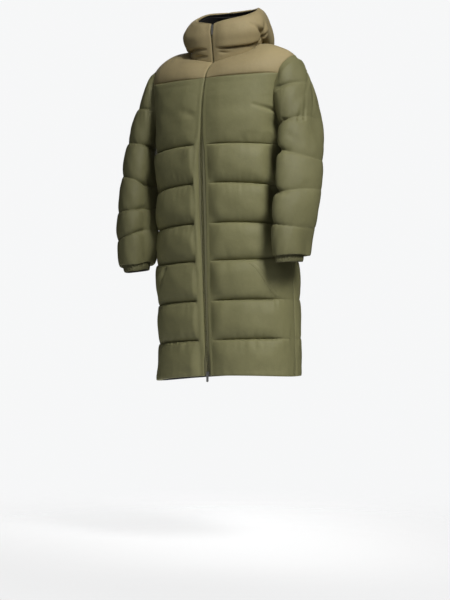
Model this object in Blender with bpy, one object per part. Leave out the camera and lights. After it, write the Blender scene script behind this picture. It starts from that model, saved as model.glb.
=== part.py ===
"""Long hooded quilted puffer coat in its worn, hollow form.

The coat is cut from padded pieces.  Each piece is a grid of points on one shared
form (torso, shoulders, sleeves, hood), given a thin wall where it is stitched and
a fuller wall between the stitch lines.  Neighbouring pieces share the points of
their seam, average their normals there, and draw back by half the seam gap.

Metres, +Z up, wearer's left is +X, the front faces -Y.
The origin is the middle of the neck opening, at the level of the shoulder line.
"""
import math
from collections import namedtuple

import bmesh
import bpy
from mathutils import Vector

# ---------------------------------------------------------------- driving sizes
SEAM_GAP = 0.0003          # between the edges of neighbouring pieces
ARMHOLE_GAP = 0.0024       # the sleeve's own, because its seam folds sharply at the underarm
STITCHED_WALL = 0.0036     # thickness of a padded piece where it is stitched
OUTER_PUFF = 0.0130        # how far a body baffle swells outward
INNER_PUFF = 0.0060        # how far a body baffle swells inward
SLEEVE_PUFF = 0.0110       # how far a sleeve baffle swells outward
SLEEVE_INNER_PUFF = 0.0040
YOKE_PUFF = 0.0050
YOKE_INNER_PUFF = 0.0030
LIP_WIDTH = 0.0090         # rolled lip beside the zip
LIP_PUFF = 0.0030
ROWS_IN_BAFFLE = 3         # grid rows from one quilt line to the next
PUFF_POWER = 0.55          # below 1 gives a full, flat-topped baffle
EDGE_GAIN, EDGE_POWER = 1.15, 0.60     # how quickly padding fills beside a seam
SLEEVE_FULL_BAFFLE = 0.085             # a sleeve baffle this long swells fully
SLEEVE_PRESSED_SHARE = 0.60            # fullness lost where the arm lies on the body

ARMHOLE_TOP = -0.036       # height of the shoulder tip
ARMHOLE_REACH = 0.076      # half of the armhole's fore-and-aft width
SHOULDER_TIP = (0.247, 0.008)
NECK_CENTRE_Y = 0.012
NECK_SIDE, NECK_FRONT, NECK_BACK = 0.118, 0.093, 0.083

YOKE_FOOT_RISE = 1.35      # how straight up the yoke leaves its lower seam
YOKE_HEAD_RISE = 1.50      # how steeply it would reach its upper edge if not level there
YOKE_LEVEL_MIDDLE, YOKE_LEVEL_TIP = 0.90, 1.35
YOKE_FAN = 45.0            # degrees that the yoke's fall turns outward at the neck's side

CAP_OUT, CAP_OUT_BY_HEIGHT = 0.68, -0.34      # direction in which the sleeve head starts
CAP_DOWN, CAP_DOWN_BY_HEIGHT = -0.46, -0.36
CAP_FORWARD = -0.26
CAP_START_PULL, CAP_END_PULL = 0.82, 0.95

TAPE_RECESS = 0.0062       # zip tape behind the stitched edge
TAPE_THICK = 0.0012
TAPE_INNER_EDGE = 0.0034
TAPE_UNDER_LIP = 0.0055
CHAIN_HALF_WIDTH = 0.0031
CHAIN_THICK = 0.0026

SLIDER_WIDTH, SLIDER_DEPTH, SLIDER_HEIGHT = 0.0090, 0.0032, 0.0110
SLIDER_BEVEL = 0.0008
SLIDER_CLEARANCE = 0.0016
SLIDER_INSET = 0.0075      # from the zip's end to the middle of the slider
CHAIN_CLEARANCE = 0.0006
ARCH_INNER, ARCH_BAR = 0.00135, 0.0013
ARCH_STEPS = 6
PULL_WIDTH, PULL_LENGTH, PULL_THICK = 0.0075, 0.0270, 0.0014
PULL_CORNER, PULL_END = 0.0012, 0.0030
PULL_ARC_STEPS = 3
EYE_WIDTH, EYE_HEIGHT = 0.0040, 0.0045

CUFF_WALL = 0.0040
CUFF_LENGTH = 0.040
CUFF_END_SCALE = 0.86
CUFF_GATHER = 1.6          # how early along the cuff it reaches that scale
CUFF_AXIS = (-0.16, -0.22, -1.0)
LINING_THICK = 0.0012
LINING_CLEARANCE = 0.0016
LINING_EDGE_INSET = 0.25   # share of a row that the lining stops short of the hood's edges

# ---------------------------------------------------------------- short tables
TorsoRow = namedtuple("TorsoRow", "z half_width front back")
TORSO = (
    TorsoRow(-1.060, 0.2310, 0.149, 0.146),
    TorsoRow(-0.940, 0.2320, 0.156, 0.151),
    TorsoRow(-0.800, 0.2290, 0.161, 0.157),
    TorsoRow(-0.700, 0.2260, 0.163, 0.160),
    TorsoRow(-0.600, 0.2160, 0.163, 0.160),
    TorsoRow(-0.450, 0.2180, 0.164, 0.162),
    TorsoRow(-0.310, 0.2160, 0.164, 0.163),
    TorsoRow(-0.200, 0.2270, 0.159, 0.158),
    TorsoRow(-0.090, 0.2430, 0.143, 0.142),
)
TORSO_SQUARENESS = 2.2     # exponent of the torso's rounded section

# pinch 1 is a sewn line, less is a soft crease; fullness is that of the baffle below it
QuiltRow = namedtuple("QuiltRow", "z_zip z_side z_back pinch fullness")
QUILT = (
    QuiltRow(-0.0980, -0.0965, -0.100, 1.00, 0.75),    # the yoke seam
    QuiltRow(-0.1980, -0.1970, -0.200, 0.45, 0.80),    # a crease across the chest
    QuiltRow(-0.3080, -0.3180, -0.322, 1.00, 1.00),
    QuiltRow(-0.4300, -0.4480, -0.446, 1.00, 1.00),
    QuiltRow(-0.5550, -0.5670, -0.568, 1.00, 0.95),
    QuiltRow(-0.6730, -0.6780, -0.682, 1.00, 1.00),
    QuiltRow(-0.7970, -0.8030, -0.806, 1.00, 1.00),
    QuiltRow(-0.9200, -0.9250, -0.925, 1.00, 0.95),
    QuiltRow(-1.0310, -1.0445, -1.038, 1.00, 0.00),    # the hem
)
UNDERARM_ROW = 5           # grid row, counted from the yoke seam, at the underarm

ZipRow = namedtuple("ZipRow", "z half_gap")
ZIP_GAP = (
    ZipRow(-1.050, 0.0115),
    ZipRow(-0.900, 0.0125),
    ZipRow(-0.340, 0.0125),
    ZipRow(-0.270, 0.0062),
    ZipRow(0.200, 0.0052),
)

RidgeRow = namedtuple("RidgeRow", "x y z")
SHOULDER_RIDGE = (
    RidgeRow(NECK_SIDE, NECK_CENTRE_Y, 0.012),
    RidgeRow(0.150, 0.011, 0.008),
    RidgeRow(0.182, 0.010, -0.002),
    RidgeRow(0.215, 0.009, -0.016),
    RidgeRow(SHOULDER_TIP[0], SHOULDER_TIP[1], ARMHOLE_TOP),
)

NeckRow = namedtuple("NeckRow", "angle z")
NECK_HEIGHT = (
    NeckRow(0.0, -0.045),
    NeckRow(60.0, -0.014),
    NeckRow(90.0, 0.012),
    NeckRow(130.0, 0.020),
    NeckRow(180.0, 0.022),
)

# pressed is how far the sleeve's rear bulges in against the body
ArmRow = namedtuple("ArmRow", "z x y across along pressed")
ARM = (
    ArmRow(-0.305, 0.2870, -0.040, 0.0410, 0.078, 0.012),
    ArmRow(-0.366, 0.2885, -0.058, 0.0410, 0.078, 0.034),
    ArmRow(-0.477, 0.2900, -0.086, 0.0410, 0.076, 0.042),
    ArmRow(-0.545, 0.2880, -0.100, 0.0400, 0.073, 0.044),
    ArmRow(-0.604, 0.2850, -0.105, 0.0400, 0.070, 0.042),
    ArmRow(-0.655, 0.2820, -0.110, 0.0370, 0.060, 0.024),
)
ARM_TURN = 27.0            # degrees that the sleeve's long axis points forward-inward
PRESSED_TURN = math.radians(225.0)
SLEEVE_LINES = (-0.150, -0.262, -0.373, -0.477, -0.573, -0.652)
CAP_LEAST = (0.30, 0.66)   # the first lines cross the sleeve head, at least so far along it
CAP_LINES = len(CAP_LEAST)
CAP_END_Z = ARM[0].z

HOOD_STATIONS = ("base", "band", "low", "belly", "side", "upper", "top", "rim")
HoodRow = namedtuple("HoodRow", "angle " + " ".join(HOOD_STATIONS))
# each station is (distance from the neck's middle, height)
HOOD = (
    HoodRow(0.0, (0.093, -0.045), (0.0955, -0.022), (0.098, 0.000), (0.101, 0.020),
            (0.103, 0.038), (0.102, 0.053), (0.100, 0.067), (0.096, 0.078)),
    HoodRow(30.0, (0.097, -0.034), (0.101, -0.012), (0.107, 0.006), (0.1115, 0.025),
            (0.113, 0.043), (0.110, 0.061), (0.104, 0.077), (0.096, 0.088)),
    HoodRow(63.0, (0.1125, -0.012), (0.1155, 0.008), (0.121, 0.020), (0.128, 0.036),
            (0.130, 0.054), (0.124, 0.073), (0.112, 0.090), (0.099, 0.100)),
    HoodRow(90.0, (0.118, 0.012), (0.120, 0.029), (0.127, 0.037), (0.132, 0.048),
            (0.133, 0.066), (0.127, 0.087), (0.114, 0.106), (0.101, 0.118)),
    HoodRow(117.0, (0.109, 0.0175), (0.117, 0.034), (0.128, 0.034), (0.135, 0.042),
            (0.137, 0.062), (0.131, 0.089), (0.115, 0.118), (0.101, 0.136)),
    HoodRow(145.0, (0.092, 0.021), (0.105, 0.038), (0.132, 0.017), (0.150, 0.008),
            (0.161, 0.030), (0.157, 0.070), (0.135, 0.118), (0.106, 0.143)),
    HoodRow(180.0, (0.083, 0.022), (0.099, 0.038), (0.131, -0.004), (0.149, -0.024),
            (0.166, -0.010), (0.168, 0.042), (0.144, 0.105), (0.110, 0.146)),
)
HOOD_PUFF = (0.0, 0.0015, 0.0050, 0.0065, 0.0075, 0.0070, 0.0060, 0.0022)

HOOD_INNER_SHARE = 0.4     # inward puff as a share of the outward one

WELT_TOP = (15.5, 4.82)    # grid row and column of the front panel
WELT_BOTTOM = (17.5, 6.50)
WELT_SPREAD = 0.26         # width in grid columns
WELT_PROBE = 0.2           # distance in grid steps over which the panel's slope is read
WELT_STEPS = 8
WELT_CLEARANCE = 0.0024
WELT_HEIGHTS = (0.0038, 0.0056, 0.0038)

LEAN = 0.046               # rise towards the wearer's left, metres for each metre
SwayRow = namedtuple("SwayRow", "z x")
SWAY = (
    SwayRow(-1.060, 0.0090),
    SwayRow(-0.700, 0.0020),
    SwayRow(-0.300, -0.0070),
    SwayRow(0.160, -0.0080),
)

OLIVE = (0.118, 0.111, 0.062, 1.0)
OLIVE_DARK = (0.060, 0.056, 0.030, 1.0)
KHAKI = (0.270, 0.221, 0.130, 1.0)
BLACK = (0.008, 0.008, 0.009, 1.0)
METAL = (0.420, 0.415, 0.400, 1.0)


# ---------------------------------------------------------------- small helpers
def smooth_row(table, key):
    """Read every column of a table at a key, on a smooth curve through its rows."""
    rows = sorted(table)
    keys = [row[0] for row in rows]
    key = min(max(key, keys[0]), keys[-1])
    i = 0
    while i < len(rows) - 2 and key > keys[i + 1]:
        i += 1
    span = keys[i + 1] - keys[i]
    t = (key - keys[i]) / span
    values = []
    for column in range(1, len(rows[0])):
        a, b = rows[i][column], rows[i + 1][column]
        before = rows[max(i - 1, 0)]
        after = rows[min(i + 2, len(rows) - 1)]
        slope_a = (b - before[column]) / (keys[i + 1] - before[0]) * span
        slope_b = (after[column] - a) / (after[0] - keys[i]) * span
        values.append(hermite(a, slope_a, b, slope_b, t))
    return values


def hermite(a, slope_a, b, slope_b, t):
    """A cubic from a to b with the given end slopes; works on numbers and vectors."""
    t2, t3 = t * t, t * t * t
    return (a * (2 * t3 - 3 * t2 + 1) + slope_a * (t3 - 2 * t2 + t)
            + b * (3 * t2 - 2 * t3) + slope_b * (t3 - t2))


def ease(t):
    """Rise smoothly from 0 to 1."""
    t = min(max(t, 0.0), 1.0)
    return t * t * (3 - 2 * t)


def mix(a, b, t):
    return a + (b - a) * t


def spaced(start, end, steps):
    return [mix(start, end, i / steps) for i in range(steps + 1)]


def puff_profile(t):
    """Fullness across a baffle, 0 at both stitch lines."""
    return math.sin(math.pi * t) ** PUFF_POWER if 0.0 < t < 1.0 else 0.0


def mirrored(point):
    return Vector((-point.x, point.y, point.z))


def mirrored_grid(grid):
    return [[mirrored(point) for point in row] for row in grid]


# ---------------------------------------------------------------- the coat's form
def torso_point(angle, z):
    """Point of the torso at an angle from the front (radians) and a height."""
    half_width, front, back = smooth_row(TORSO, z)
    power = 2.0 / TORSO_SQUARENESS
    s, c = math.sin(angle), math.cos(angle)
    x = half_width * math.copysign(abs(s) ** power, s)
    y = -front * abs(c) ** power if c > 0 else back * abs(c) ** power
    return Vector((x, y, z))


def torso_angle_at_x(x, z):
    """Angle from the front at which the torso reaches x."""
    half_width = smooth_row(TORSO, z)[0]
    return math.asin((x / half_width) ** (TORSO_SQUARENESS / 2.0))


def torso_angle_at_y(y, z):
    """Angle from the front at which the torso's side reaches y."""
    front, back = smooth_row(TORSO, z)[1:]
    depth = front if y < 0 else back
    lean_back = (abs(y) / depth) ** (TORSO_SQUARENESS / 2.0)
    return math.acos(lean_back if y < 0 else -lean_back)


def row_heights(rank):
    """Heights of a grid row at the zip, the side seam and the middle of the back."""
    baffle, part = divmod(rank, ROWS_IN_BAFFLE)
    if baffle >= len(QUILT) - 1:
        baffle, part = len(QUILT) - 2, ROWS_IN_BAFFLE
    upper, lower = QUILT[baffle], QUILT[baffle + 1]
    t = part / ROWS_IN_BAFFLE
    return (mix(upper.z_zip, lower.z_zip, t), mix(upper.z_side, lower.z_side, t),
            mix(upper.z_back, lower.z_back, t))


BODY_ROWS = ROWS_IN_BAFFLE * (len(QUILT) - 1)
UNDERARM_Z = row_heights(UNDERARM_ROW)[1]


def armhole_y(z):
    """Fore-and-aft half width of the armhole at a height, 0 at the underarm and below."""
    middle = (ARMHOLE_TOP + UNDERARM_Z) / 2
    radius = (ARMHOLE_TOP - UNDERARM_Z) / 2
    rise = min(max((z - middle) / radius, -1.0), 1.0)
    return ARMHOLE_REACH * math.sqrt(max(0.0, 1.0 - rise ** 2))


def side_angle(z, back):
    """Angle of a body panel's outer edge: the armhole, then the side seam."""
    y = armhole_y(z) if z > UNDERARM_Z else 0.0
    return torso_angle_at_y(y if back else -y, z)


def zip_half_gap(z):
    return smooth_row(ZIP_GAP, z)[0]


LIP_COLUMNS = (0.0, 0.5, 1.0)
FRONT_FRACTIONS = (0.08, 0.22, 0.40, 0.58, 0.76, 0.91, 1.0)
LAST_LIP = len(LIP_COLUMNS) - 1


def front_panel_grid():
    """Front panel of the wearer's left: rows from the yoke seam down, columns outward."""
    grid = []
    for rank in range(BODY_ROWS + 1):
        z_zip, z_side, _ = row_heights(rank)
        row = []
        gap = zip_half_gap(z_zip)
        for part in LIP_COLUMNS:
            x = gap + part * LIP_WIDTH
            row.append(torso_point(torso_angle_at_x(x, z_zip), z_zip))
        start = torso_angle_at_x(gap + LIP_WIDTH, z_zip)
        end = side_angle(z_side, back=False)
        for part in FRONT_FRACTIONS:
            z = mix(z_zip, z_side, ease(part))
            row.append(torso_point(mix(start, end, part), z))
        grid.append(row)
    return grid


BACK_FRACTIONS = (0.0, 0.05, 0.12, 0.20, 0.28, 0.36, 0.43, 0.50,
                  0.57, 0.64, 0.72, 0.80, 0.88, 0.95, 1.0)


def back_panel_grid():
    """Back panel, columns from the wearer's left side seam to the right one."""
    grid = []
    for rank in range(BODY_ROWS + 1):
        _, z_side, z_back = row_heights(rank)
        edge = side_angle(z_side, back=True)
        row = []
        for part in BACK_FRACTIONS:
            angle = mix(edge, 2 * math.pi - edge, part)
            z = mix(z_side, z_back, ease(1 - abs(2 * part - 1)))
            row.append(torso_point(angle, z))
        grid.append(row)
    return grid


def neck_point(angle):
    """Point of the neck seam at an angle from the front, in radians."""
    s, c = math.sin(angle), math.cos(angle)
    depth = NECK_FRONT if c > 0 else NECK_BACK
    z = smooth_row(NECK_HEIGHT, abs(math.degrees(angle)))[0]
    return Vector((NECK_SIDE * s, NECK_CENTRE_Y - depth * c, z))


def ridge_point(t):
    """Point of the shoulder line, 0 at the neck and 1 at the shoulder tip."""
    x = mix(SHOULDER_RIDGE[0].x, SHOULDER_RIDGE[-1].x, t)
    y, z = smooth_row(SHOULDER_RIDGE, x)
    return Vector((x, y, z))


YOKE_ROWS = 5
NECK_STEPS = 4             # front yoke columns along the neck seam, after the zip lip
RIDGE_STEPS = 3            # front yoke columns along the shoulder line
BACK_NECK_STEPS = 4        # back yoke columns along half of the neck seam
BACK_RIDGE_STEPS = 3


def yoke_column(foot, head, turn, reach, back):
    """Curve from a yoke seam point up and over to the neck or the shoulder line.

    turn is the direction, in degrees from straight ahead, in which the yoke leaves
    its upper edge, and reach is how level it is there.
    """
    rise = head - foot
    away = Vector((math.sin(math.radians(turn)), -math.cos(math.radians(turn)), 0))
    if back:
        away.y = -away.y
    level = Vector((rise.x, rise.y, 0)).length
    start_slope = Vector((0.0, 0.0, rise.z * YOKE_FOOT_RISE))
    end_slope = -away * level * reach + Vector((0, 0, rise.z * (YOKE_HEAD_RISE - reach)))
    return [hermite(foot, start_slope, head, end_slope, i / YOKE_ROWS)
            for i in range(YOKE_ROWS + 1)]


def neck_seam():
    """Neck seam of the wearer's left: (angle in degrees, point) from the zip to mid back."""
    gap = zip_half_gap(QUILT[0].z_zip)
    angles = [math.asin((gap + part * LIP_WIDTH) / NECK_SIDE) for part in LIP_COLUMNS]
    angles += spaced(angles[-1], math.pi / 2, NECK_STEPS)[1:]
    angles += spaced(math.pi / 2, math.pi, BACK_NECK_STEPS)[1:]
    return [(math.degrees(angle), neck_point(angle)) for angle in angles]


NECK_SIDE_INDEX = LAST_LIP + NECK_STEPS


def yoke_front_grid(front_row):
    """Front yoke over the shoulder, sewn to the front panel's top row."""
    heads = [(point, angle * 0.5) for angle, point in neck_seam()[:NECK_SIDE_INDEX + 1]]
    for i in range(1, RIDGE_STEPS + 1):
        heads.append((ridge_point(i / RIDGE_STEPS), mix(YOKE_FAN, 0.0, i / RIDGE_STEPS)))
    columns = []
    for i, (foot, (head, turn)) in enumerate(zip(front_row, heads)):
        reach = mix(YOKE_LEVEL_MIDDLE, YOKE_LEVEL_TIP, ease(i / (len(front_row) - 1)))
        columns.append(yoke_column(foot, head, turn, reach, back=False))
    return [list(row) for row in zip(*columns)]


def yoke_back_grid(back_row):
    """Back yoke from the wearer's left armhole, round the neck, to the right one."""
    heads = []
    for i in range(BACK_RIDGE_STEPS, 0, -1):
        t = i / BACK_RIDGE_STEPS
        heads.append((ridge_point(t), mix(YOKE_FAN, 0.0, t)))
    for angle, point in neck_seam()[NECK_SIDE_INDEX:]:
        heads.append((point, (180.0 - angle) * 0.5))
    columns = []
    for i, (head, turn) in enumerate(heads):
        reach = mix(YOKE_LEVEL_TIP, YOKE_LEVEL_MIDDLE, ease(i / (len(heads) - 1)))
        columns.append(yoke_column(back_row[i], head, turn, reach, back=True))
    for column in reversed(columns[:-1]):
        columns.append([mirrored(point) for point in column])
    return [list(row) for row in zip(*columns)]


# ---------------------------------------------------------------- sleeves
def arm_ring_point(z, turn):
    """Point of the sleeve at a height; turn 0 is outward, 90 forward, 180 inward."""
    x, y, across, along, pressed = smooth_row(ARM, z)
    long_axis = Vector((-math.sin(math.radians(ARM_TURN)), -math.cos(math.radians(ARM_TURN)), 0))
    short_axis = Vector((-long_axis.y, long_axis.x, 0))
    offset = short_axis * across * math.cos(turn) + long_axis * along * math.sin(turn)
    offset -= short_axis * pressed * max(0.0, math.cos(turn - PRESSED_TURN)) ** 2
    return Vector((x, y, z)) + offset


def armhole_loop(front, back, yoke_front, yoke_back):
    """Seam points round the armhole of the wearer's left, from the shoulder tip forward."""
    loop = [row[-1] for row in reversed(yoke_front)]
    loop += [front[rank][-1] for rank in range(1, UNDERARM_ROW + 1)]
    loop += [back[rank][0] for rank in range(UNDERARM_ROW - 1, -1, -1)]
    loop += [yoke_back[rank][0] for rank in range(1, YOKE_ROWS)]
    return loop


def loop_turns(loop):
    """Angle round the sleeve of each armhole point, 0 at the shoulder tip."""
    middle_z = (ARMHOLE_TOP + UNDERARM_Z) / 2
    half = (ARMHOLE_TOP - UNDERARM_Z) / 2
    turns = []
    for point in loop:
        rise = (point.z - middle_z) / half
        forward = (SHOULDER_TIP[1] - point.y) / ARMHOLE_REACH
        turns.append(math.atan2(forward, rise) % (2 * math.pi))
    turns[0] = 0.0
    return turns


def evened(turns):
    """Ring angles that spread the columns more evenly round the arm."""
    count = len(turns)
    return [mix(turn, 2 * math.pi * i / count, 0.5) for i, turn in enumerate(turns)]


def cap_column(start, turn):
    """Sleeve head: out of the armhole and down to the first ring of the arm."""
    end = arm_ring_point(CAP_END_Z, turn)
    below = arm_ring_point(ARM[1].z, turn)
    up = math.cos(turn)
    out = Vector((CAP_OUT + CAP_OUT_BY_HEIGHT * up, CAP_FORWARD * math.sin(turn),
                  CAP_DOWN + CAP_DOWN_BY_HEIGHT * up)).normalized()
    down = (below - end).normalized()
    chord = (end - start).length
    start_slope, end_slope = out * chord * CAP_START_PULL, down * chord * CAP_END_PULL
    return lambda t: hermite(start, start_slope, end, end_slope, t)


def height_on_column(column, z, least):
    """Place on a falling column where it passes a height, at least a given share along."""
    low, high = 0.0, 1.0
    for _ in range(30):
        middle = (low + high) / 2
        if column(middle).z > z:
            low = middle
        else:
            high = middle
    return max(low, least)


def sleeve_grid(loop):
    """Sleeve of the wearer's left: rows down the arm, columns round it."""
    turns = evened(loop_turns(loop))
    columns = []
    for start, turn in zip(loop, turns):
        cap = cap_column(start, turn)
        knots = [0.0]
        for z, least in zip(SLEEVE_LINES, CAP_LEAST):
            knots.append(height_on_column(cap, z, least))
        points = [cap(0.0)]
        for a, b in zip(knots, knots[1:]):
            points += [cap(mix(a, b, i / ROWS_IN_BAFFLE)) for i in range(1, ROWS_IN_BAFFLE + 1)]
        # the baffle that leaves the sleeve head and ends on the arm
        left_on_cap = 1.0 - knots[-1]
        cap_run = (cap(1.0) - cap(knots[-1])).length
        arm_run = CAP_END_Z - SLEEVE_LINES[CAP_LINES]
        for i in range(1, ROWS_IN_BAFFLE + 1):
            run = (cap_run + arm_run) * i / ROWS_IN_BAFFLE
            if run < cap_run:
                points.append(cap(knots[-1] + left_on_cap * run / cap_run))
            else:
                points.append(arm_ring_point(CAP_END_Z - (run - cap_run), turn))
        for a, b in zip(SLEEVE_LINES[CAP_LINES:], SLEEVE_LINES[CAP_LINES + 1:]):
            for i in range(1, ROWS_IN_BAFFLE + 1):
                points.append(arm_ring_point(mix(a, b, i / ROWS_IN_BAFFLE), turn))
        columns.append(points)
    return [list(row) for row in zip(*columns)], turns


CUFF_ROWS = 2


def cuff_grid(sleeve_end):
    """Elasticated cuff, narrower towards the hand."""
    centre = Vector((ARM[-1].x, ARM[-1].y, ARM[-1].z))
    grid = []
    for rank in range(CUFF_ROWS + 1):
        t = rank / CUFF_ROWS
        scale = mix(1.0, CUFF_END_SCALE, ease(t * CUFF_GATHER))
        shift = Vector(CUFF_AXIS).normalized() * CUFF_LENGTH * t
        grid.append([centre + (point - centre) * scale + shift for point in sleeve_end])
    return grid


# ---------------------------------------------------------------- hood and collar
def hood_point(angle, station):
    """Middle of the hood's wall at an angle from the front (degrees, 0 to 180)."""
    flat = [(row.angle, row[station + 1][0], row[station + 1][1]) for row in HOOD]
    radius, z = smooth_row(flat, angle)
    turn = math.radians(angle)
    return Vector((radius * math.sin(turn), NECK_CENTRE_Y - radius * math.cos(turn), z))


HOOD_CENTRE_INDEX = NECK_SIDE_INDEX + BACK_NECK_STEPS - 1


def hood_column(angle, base):
    """Hood section from the neck seam to the rim."""
    return [base] + [hood_point(angle, station) for station in range(1, len(HOOD_STATIONS))]


def hood_side_grid():
    """Hood side of the wearer's left, from the zip to the crown panel."""
    columns = [hood_column(*place) for place in neck_seam()[:HOOD_CENTRE_INDEX + 1]]
    for column in columns[:LAST_LIP + 1]:
        for point in column:
            point.x = column[0].x
    return [list(row) for row in zip(*columns)]


def hood_centre_grid():
    """Crown panel at the back, columns from the wearer's left to the right."""
    columns = [hood_column(*place) for place in neck_seam()[HOOD_CENTRE_INDEX:]]
    for column in reversed(columns[:-1]):
        columns.append([mirrored(point) for point in column])
    return [list(row) for row in zip(*columns)]


# ---------------------------------------------------------------- padded pieces
class Piece:
    """A grid of points on the coat's form, with its wall's thickness each way."""

    def __init__(self, name, material, grid, rows_down, wraps=False, gap=SEAM_GAP):
        self.name = name
        self.material = material
        self.grid = grid
        self.rows_down = rows_down    # True where v x u points outward
        self.wraps = wraps            # True where the last column meets the first
        self.gap = gap                # left to the neighbours at every edge
        self.outer = {}
        self.inner = {}

    @property
    def size(self):
        return len(self.grid), len(self.grid[0])

    def places(self):
        rows, columns = self.size
        return [(i, j) for i in range(rows) for j in range(columns)]

    def set_wall(self, wall):
        """wall(row, column) gives the thickness outward and inward."""
        for i, j in self.places():
            self.outer[i, j], self.inner[i, j] = wall(i, j)

    def mirror(self, name):
        """The same piece for the wearer's right."""
        grid = mirrored_grid(self.grid)
        twin = Piece(name, self.material, grid, not self.rows_down, self.wraps, self.gap)
        twin.outer, twin.inner = dict(self.outer), dict(self.inner)
        return twin

    def neighbour(self, i, j, di, dj):
        rows, columns = self.size
        i, j = i + di, j + dj
        if self.wraps:
            j %= columns
        if 0 <= i < rows and 0 <= j < columns:
            return self.grid[i][j]
        return None

    def raw_normal(self, i, j):
        here = self.grid[i][j]
        right = self.neighbour(i, j, 0, 1) or here
        left = self.neighbour(i, j, 0, -1) or here
        down = self.neighbour(i, j, 1, 0) or here
        up = self.neighbour(i, j, -1, 0) or here
        normal = (down - up).cross(right - left)
        if not self.rows_down:
            normal = -normal
        return normal.normalized()

    def drawn_back(self, i, j):
        """The point, moved in from the piece's edge by half of the seam gap."""
        here = self.grid[i][j]
        shift = Vector()
        rows, columns = self.size
        for di, dj, at_edge in ((1, 0, i == 0), (-1, 0, i == rows - 1),
                                (0, 1, j == 0 and not self.wraps),
                                (0, -1, j == columns - 1 and not self.wraps)):
            if at_edge:
                shift += (self.neighbour(i, j, di, dj) - here).normalized()
        return here + shift * self.gap / 2


def seam_key(point):
    return tuple(round(value, 5) for value in point)


def shared_normals(pieces):
    """Normals that pieces agree on where they share a seam point."""
    totals = {}
    for piece in pieces:
        for i, j in piece.places():
            key = seam_key(piece.grid[i][j])
            totals[key] = totals.get(key, Vector()) + piece.raw_normal(i, j)
    return {key: total.normalized() for key, total in totals.items()}


def posed(point):
    """The wearer's stance: the left side a little higher, the shoulders a little right."""
    sway = smooth_row(SWAY, point.z)[0]
    return Vector((point.x + sway, point.y, point.z + LEAN * point.x))


def finished_mesh(name, bm):
    """Turn the faces outward and hand the mesh over."""
    bmesh.ops.recalc_face_normals(bm, faces=bm.faces)
    mesh = bpy.data.meshes.new(name)
    bm.to_mesh(mesh)
    bm.free()
    return mesh


def box(size, centre):
    bm = bmesh.new()
    bmesh.ops.create_cube(bm, size=1.0)
    for vertex in bm.verts:
        vertex.co = Vector([vertex.co[k] * size[k] + centre[k] for k in range(3)])
    return bm


def wall_mesh(name, outer, inner, wraps=False):
    """Closed mesh between two grids of points."""
    rows, columns = len(outer), len(outer[0])
    bm = bmesh.new()
    skins = [[[bm.verts.new(posed(p)) for p in row] for row in grid] for grid in (outer, inner)]
    spans = columns if wraps else columns - 1
    for skin in skins:
        for i in range(rows - 1):
            for j in range(spans):
                k = (j + 1) % columns
                bm.faces.new((skin[i][j], skin[i + 1][j], skin[i + 1][k], skin[i][k]))
    front, back = skins
    for j in range(spans):
        k = (j + 1) % columns
        for i in (0, rows - 1):
            bm.faces.new((front[i][j], front[i][k], back[i][k], back[i][j]))
    if not wraps:
        for i in range(rows - 1):
            for j in (0, columns - 1):
                bm.faces.new((front[i][j], front[i + 1][j], back[i + 1][j], back[i][j]))
    return finished_mesh(name, bm)


def add_object(name, mesh, material, collection):
    mesh.materials.append(material)
    obj = bpy.data.objects.new(name, mesh)
    collection.objects.link(obj)
    return obj


def skin_grids(piece, normals):
    """Outer and inner skins of a padded piece."""
    outer, inner = [], []
    for i, row in enumerate(piece.grid):
        outer.append([])
        inner.append([])
        for j, _ in enumerate(row):
            normal = normals[seam_key(piece.grid[i][j])]
            middle = piece.drawn_back(i, j)
            outer[-1].append(middle + normal * piece.outer[i, j])
            inner[-1].append(middle - normal * piece.inner[i, j])
    return outer, inner


# ---------------------------------------------------------------- wall thickness
HALF_WALL = STITCHED_WALL / 2


def edge_taper(part):
    """Fullness across a piece, 0 at both edges."""
    if not 0.0 < part < 1.0:
        return 0.0
    return min(1.0, EDGE_GAIN * math.sin(math.pi * part) ** EDGE_POWER)


def baffle_fullness(rank):
    """Fullness of the body's padding on a grid row."""
    baffle, part = divmod(rank, ROWS_IN_BAFFLE)
    if part:
        return QUILT[baffle].fullness * puff_profile(part / ROWS_IN_BAFFLE)
    return QUILT[baffle].fullness * (1.0 - QUILT[baffle].pinch)


def front_wall(rank, column):
    if column <= LAST_LIP:
        swell = LIP_PUFF if column == 1 and 0 < rank < BODY_ROWS else 0.0
        return HALF_WALL + swell, HALF_WALL
    swell = baffle_fullness(rank) * edge_taper(FRONT_FRACTIONS[column - LAST_LIP - 1])
    return HALF_WALL + OUTER_PUFF * swell, HALF_WALL + INNER_PUFF * swell


def back_wall(rank, column):
    swell = baffle_fullness(rank) * edge_taper(BACK_FRACTIONS[column])
    return HALF_WALL + OUTER_PUFF * swell, HALF_WALL + INNER_PUFF * swell


def yoke_front_wall(rank, column):
    if column <= LAST_LIP:
        swell = LIP_PUFF if column == 1 and 0 < rank < YOKE_ROWS else 0.0
        return HALF_WALL + swell, HALF_WALL
    steps = NECK_STEPS + RIDGE_STEPS
    swell = edge_taper((column - LAST_LIP) / steps) * edge_taper(rank / YOKE_ROWS)
    return HALF_WALL + YOKE_PUFF * swell, HALF_WALL + YOKE_INNER_PUFF * swell


def yoke_back_wall(rank, column):
    swell = edge_taper(BACK_FRACTIONS[column]) * edge_taper(rank / YOKE_ROWS)
    return HALF_WALL + YOKE_PUFF * swell, HALF_WALL + YOKE_INNER_PUFF * swell


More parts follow.
